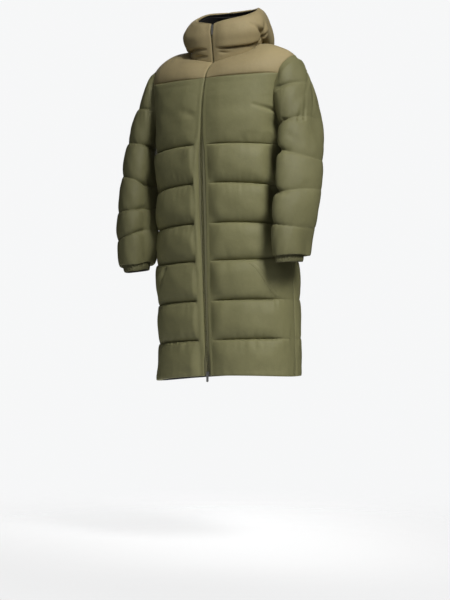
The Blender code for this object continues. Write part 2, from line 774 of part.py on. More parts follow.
def sleeve_wall(grid, turns):
    """Sleeve padding, less where the arm lies against the body."""

    def wall(rank, column):
        baffle, part = divmod(rank, ROWS_IN_BAFFLE)
        if part == 0:
            return HALF_WALL, HALF_WALL
        above = grid[baffle * ROWS_IN_BAFFLE][column]
        below = grid[(baffle + 1) * ROWS_IN_BAFFLE][column]
        room = min(1.0, (below - above).length / SLEEVE_FULL_BAFFLE)
        inward = (1 - math.cos(turns[column])) / 2
        pressed = 1 - SLEEVE_PRESSED_SHARE * inward ** 2
        swell = puff_profile(part / ROWS_IN_BAFFLE) * room * pressed
        return HALF_WALL + SLEEVE_PUFF * swell, HALF_WALL + SLEEVE_INNER_PUFF * swell

    return wall


def cuff_wall(rank, column):
    if rank == 0:
        return HALF_WALL, HALF_WALL
    return CUFF_WALL / 2, CUFF_WALL / 2


def hood_side_wall(columns):
    """Hood side padding by station, thin at the zip lip and at the crown seam."""

    def wall(station, column):
        if column in (0, LAST_LIP, columns - 1):
            return HALF_WALL, HALF_WALL
        if column < LAST_LIP:
            return HALF_WALL + (LIP_PUFF if station else 0.0), HALF_WALL
        swell = HOOD_PUFF[station]
        return HALF_WALL + swell, HALF_WALL + swell * HOOD_INNER_SHARE

    return wall


def hood_centre_wall(columns):
    """Crown panel padding by station, thin at both seams."""

    def wall(station, column):
        swell = 0.0 if column in (0, columns - 1) else HOOD_PUFF[station]
        return HALF_WALL + swell, HALF_WALL + swell * HOOD_INNER_SHARE

    return wall


# ---------------------------------------------------------------- lining and zip
def lining_grids(side, centre, normals):
    """Hood lining: one thin sheet inside both hood sides and the crown panel."""
    twin = side.mirror("twin")
    columns = [(side, j) for j in range(LAST_LIP, side.size[1])]
    columns += [(centre, j) for j in range(1, centre.size[1] - 1)]
    columns += [(twin, j) for j in range(side.size[1] - 1, LAST_LIP - 1, -1)]
    outer, inner = [], []
    for station in range(side.size[0]):
        outer.append([])
        inner.append([])
        for piece, j in columns:
            depth = piece.inner[station, j] + LINING_CLEARANCE
            if j in (0, piece.size[1] - 1):
                depth += HOOD_PUFF[station] * HOOD_INNER_SHARE
            normal = normals[seam_key(piece.grid[station][j])]
            point = piece.grid[station][j] - normal * depth
            outer[-1].append(point)
            inner[-1].append(point - normal * LINING_THICK)
    for skin in (outer, inner):
        for j in range(len(columns)):
            skin[0][j] = skin[0][j].lerp(skin[1][j], LINING_EDGE_INSET)
            skin[-1][j] = skin[-1][j].lerp(skin[-2][j], LINING_EDGE_INSET)
    return outer, inner


def zip_edge(front, yoke, hood, normals):
    """Points and normals down the opening's edge, from the hem to the collar's top."""
    points = [row[0] for row in reversed(front.grid[::ROWS_IN_BAFFLE])]
    points += [row[0] for row in yoke.grid[1:]]
    points += [row[0] for row in hood.grid[1:]]
    edge = []
    for point in points:
        normal = normals[seam_key(point)].copy()
        normal.x = 0.0
        edge.append((point, normal.normalized()))
    return edge


def ribbon_grids(edge, x_from, x_to, thickness):
    """Outer and inner skins of a ribbon that runs behind the opening's edge."""
    outer, inner = [], []
    for point, normal in edge:
        middle = point - normal * TAPE_RECESS
        xs = (x_from(point), x_to(point))
        outer.append([Vector((x, middle.y, middle.z)) + normal * thickness / 2 for x in xs])
        inner.append([Vector((x, middle.y, middle.z)) - normal * thickness / 2 for x in xs])
    return outer, inner


def edge_at(edge, z):
    """Point and normal of the opening's edge at a height."""
    for (a, normal_a), (b, normal_b) in zip(edge, edge[1:]):
        if a.z <= z <= b.z:
            t = (z - a.z) / (b.z - a.z)
            return a.lerp(b, t), normal_a.lerp(normal_b, t).normalized()
    raise ValueError("height outside the zip")


def trimmed(edge, low, high):
    """The run of an edge between two heights, cut at both."""
    between = [place for place in edge if low < place[0].z < high]
    return [edge_at(edge, low)] + between + [edge_at(edge, high)]


# ---------------------------------------------------------------- sliders and pulls
def slider_pivot(edge, z):
    """Hinge point of a pull, in front of the zip tapes at a height."""
    point, normal = edge_at(edge, z)
    tape_y = (point - normal * TAPE_RECESS).y
    proud = TAPE_THICK / 2 + SLIDER_CLEARANCE + SLIDER_DEPTH + ARCH_INNER
    return posed(Vector((0.0, tape_y - proud, z)))


def slider_object(name, pivot, material, collection, cutters):
    """Zip slider: a rounded body and, over it, the arch that holds the pull."""
    bm = box((SLIDER_WIDTH, SLIDER_DEPTH, SLIDER_HEIGHT),
             (pivot.x, pivot.y + ARCH_INNER + SLIDER_DEPTH / 2, pivot.z))
    bmesh.ops.bevel(bm, geom=bm.edges[:], offset=SLIDER_BEVEL, segments=1, affect="EDGES")
    slider = add_object(name, finished_mesh(name, bm), material, collection)
    tool = add_tool(name + "_arch", arch_mesh(name + "_arch", pivot), cutters)
    add_boolean(slider, tool, "UNION")


def arch_mesh(name, pivot):
    """Square bar in an upright plane, out of the slider's face and round the pull's bar."""
    face = pivot.y + ARCH_INNER
    bend = spaced(-math.pi / 2, math.pi / 2, ARCH_STEPS)
    bm = bmesh.new()
    rings = []
    for radius in (ARCH_INNER, ARCH_INNER + ARCH_BAR):
        line = [(face + SLIDER_DEPTH / 3, pivot.z - radius)]
        line += [(pivot.y - math.cos(a) * radius, pivot.z + math.sin(a) * radius) for a in bend]
        line.append((face + SLIDER_DEPTH / 3, pivot.z + radius))
        for x in (pivot.x - ARCH_BAR / 2, pivot.x + ARCH_BAR / 2):
            rings.append([bm.verts.new((x, y, z)) for y, z in line])
    near, near_right, far, far_right = rings
    loops = (near, near_right, far_right, far)
    for i in range(len(near) - 1):
        for a, b in zip(loops, loops[1:] + loops[:1]):
            bm.faces.new((a[i], a[i + 1], b[i + 1], b[i]))
    for i in (0, -1):
        bm.faces.new([line[i] for line in loops])
    return finished_mesh(name, bm)


def pull_object(name, pivot, material, collection, cutters):
    """Flat pull with a round end and an eye; its top bar lies on the hinge axis."""
    half = PULL_WIDTH / 2
    corner = PULL_CORNER
    top = PULL_THICK / 2
    outline = []
    for centre_x, centre_z, radius, start in (
            (half - corner, top - corner, corner, 0.0),
            (corner - half, top - corner, corner, math.pi / 2),
            (PULL_END - half, PULL_END - PULL_LENGTH, PULL_END, math.pi),
            (half - PULL_END, PULL_END - PULL_LENGTH, PULL_END, 1.5 * math.pi)):
        for angle in spaced(start, start + math.pi / 2, PULL_ARC_STEPS):
            outline.append((centre_x + radius * math.cos(angle), centre_z + radius * math.sin(angle)))
    bm = bmesh.new()
    skins = []
    for y in (-PULL_THICK / 2, PULL_THICK / 2):
        skins.append([bm.verts.new((x, y, z)) for x, z in outline])
        bm.faces.new(skins[-1])
    for i in range(len(outline)):
        k = (i + 1) % len(outline)
        bm.faces.new((skins[0][i], skins[0][k], skins[1][k], skins[1][i]))
    pull = add_object(name, finished_mesh(name, bm), material, collection)
    pull.location = pivot

    eye = box((EYE_WIDTH, PULL_THICK * 3, EYE_HEIGHT),
              (pivot.x, pivot.y, pivot.z - PULL_THICK / 2 - EYE_HEIGHT / 2))
    tool = add_tool(name + "_eye", finished_mesh(name + "_eye", eye), cutters)
    add_boolean(pull, tool, "DIFFERENCE")


def add_tool(name, mesh, cutters):
    tool = bpy.data.objects.new(name, mesh)
    tool.hide_render = True
    tool.display_type = "WIRE"
    cutters.objects.link(tool)
    return tool


def add_boolean(obj, tool, operation):
    modifier = obj.modifiers.new(operation.lower(), "BOOLEAN")
    modifier.operation = operation
    modifier.object = tool
    modifier.solver = "EXACT"


# ---------------------------------------------------------------- pocket welts
def skin_point(skin, row, column):
    """Point of a panel's outer skin between its grid points."""
    i, j = min(int(row), len(skin) - 2), min(int(column), len(skin[0]) - 2)
    upper = skin[i][j].lerp(skin[i][j + 1], column - j)
    lower = skin[i + 1][j].lerp(skin[i + 1][j + 1], column - j)
    return upper.lerp(lower, row - i)


def welt_grids(skin):
    """Slanted hand-pocket welt on the front panel, made from the panel's points."""
    outer, inner = [], []
    for t in spaced(0.0, 1.0, WELT_STEPS):
        row = mix(WELT_TOP[0], WELT_BOTTOM[0], t)
        column = mix(WELT_TOP[1], WELT_BOTTOM[1], t)
        outer.append([])
        inner.append([])
        for across, height in zip((0.0, 0.5, 1.0), WELT_HEIGHTS):
            place = column + across * WELT_SPREAD
            point = skin_point(skin, row, place)
            along_u = (skin_point(skin, row, place + WELT_PROBE)
                       - skin_point(skin, row, place - WELT_PROBE))
            along_v = (skin_point(skin, row + WELT_PROBE, place)
                       - skin_point(skin, row - WELT_PROBE, place))
            normal = along_v.cross(along_u).normalized()
            outer[-1].append(point + normal * height)
            inner[-1].append(point + normal * WELT_CLEARANCE)
    return outer, inner


# ---------------------------------------------------------------- materials and scene
def cloth_material(name, colour, roughness, metallic=0.0):
    material = bpy.data.materials.new(name)
    material.use_nodes = True
    shader = material.node_tree.nodes["Principled BSDF"]
    shader.inputs["Base Color"].default_value = colour
    shader.inputs["Roughness"].default_value = roughness
    shader.inputs["Metallic"].default_value = metallic
    return material


def new_collection(name):
    collection = bpy.data.collections.new(name)
    bpy.context.scene.collection.children.link(collection)
    return collection


def padded_pieces(olive, khaki):
    """Every padded piece of the coat on its form, with its wall."""
    front_grid = front_panel_grid()
    back_grid = back_panel_grid()
    front = Piece("front_left", olive, front_grid, rows_down=True)
    back = Piece("back", olive, back_grid, rows_down=True)
    yoke_front = Piece("yoke_front_left", khaki, yoke_front_grid(front_grid[0]), rows_down=False)
    yoke_back = Piece("yoke_back", khaki, yoke_back_grid(back_grid[0]), rows_down=False)
    loop = armhole_loop(front_grid, back_grid, yoke_front.grid, yoke_back.grid)
    grid, turns = sleeve_grid(loop)
    sleeve = Piece("sleeve_left", olive, grid, rows_down=False, wraps=True, gap=ARMHOLE_GAP)
    cuff = Piece("cuff_left", olive, cuff_grid(grid[-1]), rows_down=False, wraps=True)
    hood_side = Piece("hood_side_left", khaki, hood_side_grid(), rows_down=False)
    hood_centre = Piece("hood_centre", khaki, hood_centre_grid(), rows_down=False)

    front.set_wall(front_wall)
    back.set_wall(back_wall)
    yoke_front.set_wall(yoke_front_wall)
    yoke_back.set_wall(yoke_back_wall)
    sleeve.set_wall(sleeve_wall(grid, turns))
    cuff.set_wall(cuff_wall)
    hood_side.set_wall(hood_side_wall(hood_side.size[1]))
    hood_centre.set_wall(hood_centre_wall(hood_centre.size[1]))
    left = [front, yoke_front, sleeve, cuff, hood_side]
    right = [piece.mirror(piece.name.replace("left", "right")) for piece in left]
    return left, right, [back, yoke_back, hood_centre]


def main():
    for obj in list(bpy.data.objects):
        bpy.data.objects.remove(obj, do_unlink=True)
    coat = new_collection("hooded_puffer_coat")
    cutters = new_collection("cutters")
    olive = cloth_material("olive_shell", OLIVE, 0.55)
    tape = cloth_material("olive_tape", OLIVE_DARK, 0.80)
    khaki = cloth_material("khaki_shell", KHAKI, 0.60)
    black = cloth_material("black_lining", BLACK, 0.70)
    metal = cloth_material("pull_metal", METAL, 0.35, metallic=1.0)

    left, right, middle = padded_pieces(olive, khaki)
    pieces = left + right + middle
    normals = shared_normals(pieces)
    skins = {}
    for piece in pieces:
        skins[piece.name] = skin_grids(piece, normals)
        mesh = wall_mesh(piece.name, *skins[piece.name], piece.wraps)
        add_object(piece.name, mesh, piece.material, coat)

    front, yoke, _, _, hood_side = left
    lining = lining_grids(hood_side, middle[2], normals)
    add_object("hood_lining", wall_mesh("hood_lining", *lining), black, coat)

    edge = zip_edge(front, yoke, hood_side, normals)
    tapes = ribbon_grids(edge, lambda p: TAPE_INNER_EDGE,
                         lambda p: zip_half_gap(p.z) + TAPE_UNDER_LIP, TAPE_THICK)
    add_pair("zip_tape_", tapes, tape, coat)
    lower_pivot = slider_pivot(edge, edge[0][0].z + SLIDER_INSET)
    upper_pivot = slider_pivot(edge, edge[-1][0].z - SLIDER_INSET)
    reach = SLIDER_HEIGHT / 2 + CHAIN_CLEARANCE
    run = trimmed(edge, lower_pivot.z + reach, upper_pivot.z - reach)
    chain = ribbon_grids(run, lambda p: -CHAIN_HALF_WIDTH, lambda p: CHAIN_HALF_WIDTH, CHAIN_THICK)
    add_object("zip_chain", wall_mesh("zip_chain", *chain), tape, coat)

    for name, pivot in (("lower", lower_pivot), ("upper", upper_pivot)):
        slider_object("slider_" + name, pivot, metal, coat, cutters)
        pull_object("pull_" + name, pivot, metal, coat, cutters)
    add_pair("pocket_welt_", welt_grids(skins["front_left"][0]), olive, coat)


def add_pair(prefix, grids, material, collection):
    """A walled piece for the wearer's left and its mirror image for the right."""
    outer, inner = grids
    name = prefix + "left"
    add_object(name, wall_mesh(name, outer, inner), material, collection)
    name = prefix + "right"
    mesh = wall_mesh(name, mirrored_grid(outer), mirrored_grid(inner))
    add_object(name, mesh, material, collection)


main()
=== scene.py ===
"""Looks of the long hooded quilted puffer coat.

Every cloth piece is made again on the CAD's own form, finely, with its padding,
puckers, creases and stitches.  Metres, +Z up, wearer's left +X, the front faces -Y.
"""
import math
from collections import namedtuple

import bmesh
import bpy
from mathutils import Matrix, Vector, noise

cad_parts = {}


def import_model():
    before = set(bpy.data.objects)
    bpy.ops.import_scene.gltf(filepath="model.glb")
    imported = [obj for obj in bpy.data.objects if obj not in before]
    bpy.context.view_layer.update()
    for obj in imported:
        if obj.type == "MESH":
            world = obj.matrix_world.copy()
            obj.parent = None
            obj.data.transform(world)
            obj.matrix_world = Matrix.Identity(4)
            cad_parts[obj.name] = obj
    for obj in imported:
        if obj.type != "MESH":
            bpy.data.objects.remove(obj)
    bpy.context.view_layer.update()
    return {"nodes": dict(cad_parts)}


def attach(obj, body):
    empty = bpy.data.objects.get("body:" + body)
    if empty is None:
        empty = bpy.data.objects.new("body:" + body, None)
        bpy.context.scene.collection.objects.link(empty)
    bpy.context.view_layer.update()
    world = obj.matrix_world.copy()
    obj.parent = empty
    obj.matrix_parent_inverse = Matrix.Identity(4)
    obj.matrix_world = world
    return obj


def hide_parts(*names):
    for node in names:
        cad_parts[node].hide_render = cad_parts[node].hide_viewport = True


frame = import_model()


def table(kind, *rows):
    """Rows of numbers as named rows."""
    return tuple(kind(*row) for row in rows)


# ---------------------------------------------------------------- sizes
# The plain form is the CAD's. The filling stands fuller than there, and the cloths meet,
# where the CAD keeps them just apart.
STITCHED_WALL = 0.0036
HALF_WALL = STITCHED_WALL / 2
OUTER_PUFF, INNER_PUFF = 0.0255, 0.0060
SLEEVE_PUFF, SLEEVE_INNER_PUFF = 0.0150, 0.0040
YOKE_PUFF, YOKE_INNER_PUFF = 0.0050, 0.0030
SLEEVE_FULL_BAFFLE = 0.085
SLEEVE_PRESSED_SHARE = 0.60
EDGE_GAIN, EDGE_POWER = 1.15, 0.60
LIP_WIDTH = 0.0090
ARMHOLE_TOP = -0.036
ARMHOLE_REACH = 0.076
SHOULDER_TIP = (0.247, 0.008)
NECK_CENTRE_Y = 0.012
NECK_SIDE, NECK_FRONT, NECK_BACK = 0.118, 0.093, 0.083
YOKE_FOOT_RISE, YOKE_HEAD_RISE = 1.35, 1.50
YOKE_LEVEL_MIDDLE, YOKE_LEVEL_TIP = 0.90, 1.35
YOKE_FAN = 45.0
CAP_OUT, CAP_OUT_BY_HEIGHT = 0.68, -0.34
CAP_DOWN, CAP_DOWN_BY_HEIGHT = -0.46, -0.36
CAP_FORWARD = -0.26
CAP_START_PULL, CAP_END_PULL = 0.82, 0.95
TAPE_RECESS, TAPE_THICK, TAPE_INNER_EDGE, TAPE_UNDER_LIP = 0.0062, 0.0012, 0.0034, 0.0055
SLIDER_INSET, SLIDER_HALF = 0.0075, 0.0061
CUFF_LENGTH, CUFF_END_SCALE, CUFF_GATHER = 0.040, 0.86, 1.6
CUFF_AXIS = (-0.16, -0.22, -1.0)
LINING_CLEARANCE, LINING_THICK, LINING_EDGE_INSET = 0.0016, 0.0012, 0.25

TorsoRow = namedtuple("TorsoRow", "z half_width front back")
TORSO = table(
    TorsoRow,
    (-1.060, 0.2310, 0.149, 0.146),
    (-0.940, 0.2320, 0.156, 0.151),
    (-0.800, 0.2290, 0.161, 0.157),
    (-0.700, 0.2260, 0.163, 0.160),
    (-0.600, 0.2160, 0.163, 0.160),
    (-0.450, 0.2180, 0.164, 0.162),
    (-0.310, 0.2160, 0.164, 0.163),
    (-0.200, 0.2270, 0.159, 0.158),
    (-0.090, 0.2430, 0.143, 0.142),
)
TORSO_SQUARENESS = 2.2

QuiltRow = namedtuple("QuiltRow", "z_zip z_side z_back pinch fullness")
QUILT = table(
    QuiltRow,
    (-0.0980, -0.0965, -0.100, 1.00, 0.75),
    (-0.1980, -0.1970, -0.200, 0.00, 0.80),
    (-0.3080, -0.3180, -0.322, 1.00, 1.00),
    (-0.4300, -0.4480, -0.446, 1.00, 1.00),
    (-0.5550, -0.5670, -0.568, 1.00, 0.95),
    (-0.6730, -0.6780, -0.682, 1.00, 1.00),
    (-0.7970, -0.8030, -0.806, 1.00, 1.00),
    (-0.9200, -0.9250, -0.925, 1.00, 0.95),
    (-1.0310, -1.0445, -1.038, 1.00, 0.00),
)
CHEST_ROW = 1              # the one row of QUILT that is a soft crease, not sewn
UNDERARM_BAFFLES = 5 / 3   # where the underarm lies, counted in baffles from the yoke seam

ZIP_GAP = (   # height, half of the opening between the lips
    (-1.050, 0.0115), (-0.900, 0.0125), (-0.340, 0.0125), (-0.270, 0.0062), (0.200, 0.0052))
# how far each lip leans over the zip; it keeps clear of the sliders
LIP_COVER = (   # height, the wearer's left lip, the right lip
    (-1.070, 0.0, 0.0), (-0.995, 0.0, 0.0), (-0.950, 0.0030, 0.0080), (-0.700, 0.0030, 0.0080),
    (-0.560, 0.0010, 0.0040), (-0.400, 0.0005, 0.0030), (-0.300, 0.0020, 0.0035),
    (-0.240, 0.0020, 0.0035), (0.030, 0.0022, 0.0032), (0.052, 0.0, 0.0), (0.200, 0.0, 0.0))
# height of each lip above the plain form, and how far from it the filling is full
LIP_RISE = (   # height, left lip, right lip, left reach, right reach
    (-1.070, 0.0010, 0.0010, 0.045, 0.030), (-0.970, 0.0015, 0.0020, 0.045, 0.024),
    (-0.900, 0.0020, 0.0080, 0.045, 0.010), (-0.450, 0.0022, 0.0140, 0.045, 0.008),
    (-0.330, 0.0022, 0.0120, 0.050, 0.010), (-0.260, 0.0020, 0.0035, 0.055, 0.050),
    (-0.080, 0.0018, 0.0022, 0.050, 0.050), (0.200, 0.0018, 0.0022, 0.030, 0.030))
ZIP_RISE = (   # height, how far the chain stands above its recess
    (-1.070, 0.0), (-1.000, 0.0), (-0.940, 0.0066), (-0.300, 0.0066), (0.010, 0.0040),
    (0.045, 0.0), (0.200, 0.0))
SHOULDER_RIDGE = (   # x, y, z
    (NECK_SIDE, NECK_CENTRE_Y, 0.012), (0.150, 0.011, 0.008), (0.182, 0.010, -0.002),
    (0.215, 0.009, -0.016), (SHOULDER_TIP[0], SHOULDER_TIP[1], ARMHOLE_TOP))
NECK_HEIGHT = (   # degrees from the front, height
    (0.0, -0.045), (60.0, -0.014), (90.0, 0.012), (130.0, 0.020), (180.0, 0.022))

ArmRow = namedtuple("ArmRow", "z x y across along pressed")
ARM = table(
    ArmRow,
    (-0.305, 0.2870, -0.040, 0.0410, 0.078, 0.012),
    (-0.366, 0.2885, -0.058, 0.0410, 0.078, 0.034),
    (-0.477, 0.2900, -0.086, 0.0410, 0.076, 0.042),
    (-0.545, 0.2880, -0.100, 0.0400, 0.073, 0.044),
    (-0.604, 0.2850, -0.105, 0.0400, 0.070, 0.042),
    (-0.655, 0.2820, -0.110, 0.0370, 0.060, 0.024),
)
ARM_TURN = 27.0
PRESSED_TURN = math.radians(225.0)
SLEEVE_END_Z = -0.652
CAP_END_Z = ARM[0].z

HoodRow = namedtuple("HoodRow", "angle base band low belly side upper top rim")
HOOD = table(
    HoodRow,
    (0.0, (0.093, -0.045), (0.0955, -0.022), (0.098, 0.000), (0.101, 0.020),
     (0.103, 0.038), (0.102, 0.053), (0.100, 0.067), (0.096, 0.078)),
    (30.0, (0.097, -0.034), (0.101, -0.012), (0.107, 0.006), (0.1115, 0.025),
     (0.113, 0.043), (0.110, 0.061), (0.104, 0.077), (0.096, 0.088)),
    (63.0, (0.1125, -0.012), (0.1155, 0.008), (0.121, 0.020), (0.128, 0.036),
     (0.130, 0.054), (0.124, 0.073), (0.112, 0.090), (0.099, 0.100)),
    (90.0, (0.118, 0.012), (0.120, 0.029), (0.127, 0.037), (0.132, 0.048),
     (0.133, 0.066), (0.127, 0.087), (0.114, 0.106), (0.101, 0.118)),
    (117.0, (0.109, 0.0175), (0.117, 0.034), (0.128, 0.034), (0.135, 0.042),
     (0.137, 0.062), (0.131, 0.089), (0.115, 0.118), (0.101, 0.136)),
    (145.0, (0.092, 0.021), (0.105, 0.038), (0.132, 0.017), (0.150, 0.008),
     (0.161, 0.030), (0.157, 0.070), (0.135, 0.118), (0.106, 0.143)),
    (180.0, (0.083, 0.022), (0.099, 0.038), (0.131, -0.004), (0.149, -0.024),
     (0.166, -0.010), (0.168, 0.042), (0.144, 0.105), (0.110, 0.146)),
)
HOOD_PUFF = (0.0, 0.0030, 0.0070, 0.0090, 0.0100, 0.0095, 0.0080, 0.0026)
HOOD_INNER_SHARE, LINING_SHARE = 0.3, 0.85
HOOD_CENTRE_PART = 0.43    # place across half of the back yoke where the crown panel starts

LEAN = 0.046               # the wearer's left shoulder is higher
SWAY = (   # height, shift to the wearer's left
    (-1.060, 0.0090), (-0.700, 0.0020), (-0.300, -0.0070), (0.160, -0.0080))

# ---------------------------------------------------------------- fineness of the mesh
STEPS_IN_BAFFLE = 27       # a multiple of 3, so that a row falls on the underarm
CROWDING = 0.62
LIP_STEPS = 5
YOKE_STEPS = 30
STATION_STEPS = 10
CUFF_STEPS = 12
CAP_STEPS, ARM_STEPS = 112, 118
CAP_SOFTENING = 14
INNER_STRIDE = 3           # the inside is this much coarser


def refined(values, counts):
    """Each interval between values, cut into that many steps."""
    fine = [values[0]]
    for a, b, count in zip(values, values[1:], counts):
        fine += [a + (b - a) * i / count for i in range(1, count + 1)]
    return fine


COARSE_PARTS = (0.0, 0.08, 0.22, 0.40, 0.58, 0.76, 0.91, 1.0)   # the CAD's columns
FRONT_PARTS = refined(COARSE_PARTS, (6, 9, 12, 12, 12, 9, 6))[1:]
HALF_BACK = refined((0.0, 0.05, 0.12, 0.20, 0.28, 0.36, 0.43, 0.50), (6, 9, 9, 9, 9, 9, 9))
BACK_PARTS = HALF_BACK + [1.0 - part for part in reversed(HALF_BACK[:-1])]
# across a front: where its yoke reaches the neck's side, as shares of the neck seam and ridge
FRONT_NECK = ((0.0, 0.0), (0.08, 0.25), (0.22, 0.50), (0.40, 0.75), (0.58, 1.0))
FRONT_RIDGE = ((0.58, 0.0), (0.76, 1 / 3), (0.91, 2 / 3), (1.0, 1.0))
BACK_RIDGE = ((0.0, 1.0), (0.05, 2 / 3), (0.12, 1 / 3), (0.20, 0.0))
BACK_NECK = ((0.20, 0.0), (0.28, 0.25), (0.36, 0.50), (0.43, 0.75), (0.50, 1.0))
FRONT_NECK_END, BACK_NECK_START = 0.58, 0.20
TINY = 1e-6
BACK_NECK_PARTS = [part for part in HALF_BACK if part >= BACK_NECK_START - TINY]


# ---------------------------------------------------------------- small helpers
def hermite(a, slope_a, b, slope_b, t):
    t2, t3 = t * t, t * t * t
    return (a * (2 * t3 - 3 * t2 + 1) + slope_a * (t3 - 2 * t2 + t)
            + b * (3 * t2 - 2 * t3) + slope_b * (t3 - t2))


def smooth_row(rows, key):
    """Read every column of a table at a key, on a smooth curve through its rows."""
    if rows[0][0] > rows[-1][0]:
        rows = rows[::-1]
    key = min(max(key, rows[0][0]), rows[-1][0])
    i = 0
    while i < len(rows) - 2 and key > rows[i + 1][0]:
        i += 1
    here, there = rows[i], rows[i + 1]
    before, after = rows[max(i - 1, 0)], rows[min(i + 2, len(rows) - 1)]
    span = there[0] - here[0]
    t = (key - here[0]) / span
    values = []
    for column in range(1, len(here)):
        a, b = here[column], there[column]
        slope_a = (b - before[column]) / (there[0] - before[0]) * span
        slope_b = (after[column] - a) / (after[0] - here[0]) * span
        values.append(hermite(a, slope_a, b, slope_b, t))
    return values


def smooth_list(points, place):
    """A point on a smooth curve through evenly numbered points."""
    i = min(int(place), len(points) - 2)
    a, b = points[i], points[i + 1]
    before, after = points[max(i - 1, 0)], points[min(i + 2, len(points) - 1)]
    slope_a = (b - before) * (0.5 if i else 1.0)
    slope_b = (after - a) * (0.5 if i + 2 < len(points) else 1.0)
    return hermite(a, slope_a, b, slope_b, place - i)


def ease(t):
    t = min(max(t, 0.0), 1.0)
    return t * t * (3 - 2 * t)


def mix(a, b, t):
    return a + (b - a) * t


def mirrored(point):
    return Vector((-point.x, point.y, point.z))


def with_mirror(columns):
    """Rows of a panel that is built as columns up to the middle of the back."""
    for column in reversed(columns[:-1]):
        columns.append([mirrored(point) for point in column])
    return rows_of(columns)


def rows_of(columns):
    return [list(row) for row in zip(*columns)]


def wave(*place):
    """Smooth noise, from about -0.7 to 0.7."""
    place = (place + (0.0, 0.0))[:3]
    return noise.noise(Vector(place))


# ---------------------------------------------------------------- the coat's form
def torso_point(angle, z):
    half_width, front, back = smooth_row(TORSO, z)
    power = 2.0 / TORSO_SQUARENESS
    s, c = math.sin(angle), math.cos(angle)
    x = half_width * math.copysign(abs(s) ** power, s)
    y = -front * abs(c) ** power if c > 0 else back * abs(c) ** power
    return Vector((x, y, z))


def torso_angle_at_x(x, z):
    half_width = smooth_row(TORSO, z)[0]
    return math.asin((x / half_width) ** (TORSO_SQUARENESS / 2.0))


def torso_angle_at_y(y, z):
    front, back = smooth_row(TORSO, z)[1:]
    depth = front if y < 0 else back
    lean_back = (abs(y) / depth) ** (TORSO_SQUARENESS / 2.0)
    return math.acos(lean_back if y < 0 else -lean_back)


def row_heights(v):
    """Heights at the zip, the side seam and the middle of the back; v counts baffles."""
    baffle = min(int(v), len(QUILT) - 2)
    t = v - baffle
    upper, lower = QUILT[baffle], QUILT[baffle + 1]
    return (mix(upper.z_zip, lower.z_zip, t), mix(upper.z_side, lower.z_side, t),
            mix(upper.z_back, lower.z_back, t))


BODY_ROWS = STEPS_IN_BAFFLE * (len(QUILT) - 1)
UNDERARM_ROW = round(UNDERARM_BAFFLES * STEPS_IN_BAFFLE)
UNDERARM_Z = row_heights(UNDERARM_BAFFLES)[1]


def armhole_y(z):
    middle = (ARMHOLE_TOP + UNDERARM_Z) / 2
    radius = (ARMHOLE_TOP - UNDERARM_Z) / 2
    rise = min(max((z - middle) / radius, -1.0), 1.0)
    return ARMHOLE_REACH * math.sqrt(max(0.0, 1.0 - rise ** 2))


def side_angle(z, back):
    y = armhole_y(z) if z > UNDERARM_Z else 0.0
    return torso_angle_at_y(y if back else -y, z)


def zip_half_gap(z):
    return smooth_row(ZIP_GAP, z)[0]


LIP_PARTS = [i / LIP_STEPS for i in range(LIP_STEPS + 1)]


def row_place(rank):
    """Place of a row in baffles; below the underarm the rows crowd near the sewn lines."""
    baffle, t = divmod(rank / STEPS_IN_BAFFLE, 1.0)
    if baffle >= CHEST_ROW + 1:
        t -= CROWDING * math.sin(2 * math.pi * t) / (2 * math.pi)
    elif baffle == CHEST_ROW:
        below = 1.0 - UNDERARM_BAFFLES % 1.0
        after = max(0.0, t - UNDERARM_BAFFLES % 1.0) / below
        t += ((1.0 - (1.0 - after) ** 1.5) - after) * below
    return baffle + t


def front_panel_grid():
    grid = []
    for rank in range(BODY_ROWS + 1):
        z_zip, z_side, _ = row_heights(row_place(rank))
        gap = zip_half_gap(z_zip)
        row = []
        for part in LIP_PARTS:
            row.append(torso_point(torso_angle_at_x(gap + part * LIP_WIDTH, z_zip), z_zip))
        start = torso_angle_at_x(gap + LIP_WIDTH, z_zip)
        end = side_angle(z_side, back=False)
        for part in FRONT_PARTS:
            z = mix(z_zip, z_side, ease(part))
            row.append(torso_point(mix(start, end, part), z))
        grid.append(row)
    return grid


def back_panel_grid():
    grid = []
    for rank in range(BODY_ROWS + 1):
        _, z_side, z_back = row_heights(row_place(rank))
        edge = side_angle(z_side, back=True)
        row = []
        for part in BACK_PARTS:
            angle = mix(edge, 2 * math.pi - edge, part)
            row.append(torso_point(angle, mix(z_side, z_back, ease(1 - abs(2 * part - 1)))))
        grid.append(row)
    return grid


def neck_point(angle):
    s, c = math.sin(angle), math.cos(angle)
    depth = NECK_FRONT if c > 0 else NECK_BACK
    z = smooth_row(NECK_HEIGHT, abs(math.degrees(angle)))[0]
    return Vector((NECK_SIDE * s, NECK_CENTRE_Y - depth * c, z))


def ridge_point(t):
    x = mix(SHOULDER_RIDGE[0][0], SHOULDER_RIDGE[-1][0], t)
    y, z = smooth_row(SHOULDER_RIDGE, x)
    return Vector((x, y, z))


def yoke_column(foot, head, turn, reach, back):
    rise = head - foot
    away = Vector((math.sin(math.radians(turn)), -math.cos(math.radians(turn)), 0))
    if back:
        away.y = -away.y
    level = Vector((rise.x, rise.y, 0)).length
    start_slope = Vector((0.0, 0.0, rise.z * YOKE_FOOT_RISE))
    end_slope = -away * level * reach + Vector((0, 0, rise.z * (YOKE_HEAD_RISE - reach)))
    return [hermite(foot, start_slope, head, end_slope, i / YOKE_STEPS)
            for i in range(YOKE_STEPS + 1)]


def front_neck_seam():
    """(angle in degrees, point) from the zip to the neck's side."""
    gap = zip_half_gap(QUILT[0].z_zip)
    angles = [math.asin((gap + part * LIP_WIDTH) / NECK_SIDE) for part in LIP_PARTS]
    start = angles[-1]
    for part in FRONT_PARTS:
        if part <= FRONT_NECK_END + TINY:
            angles.append(mix(start, math.pi / 2, smooth_row(FRONT_NECK, part)[0]))
    return [(math.degrees(angle), neck_point(angle)) for angle in angles]


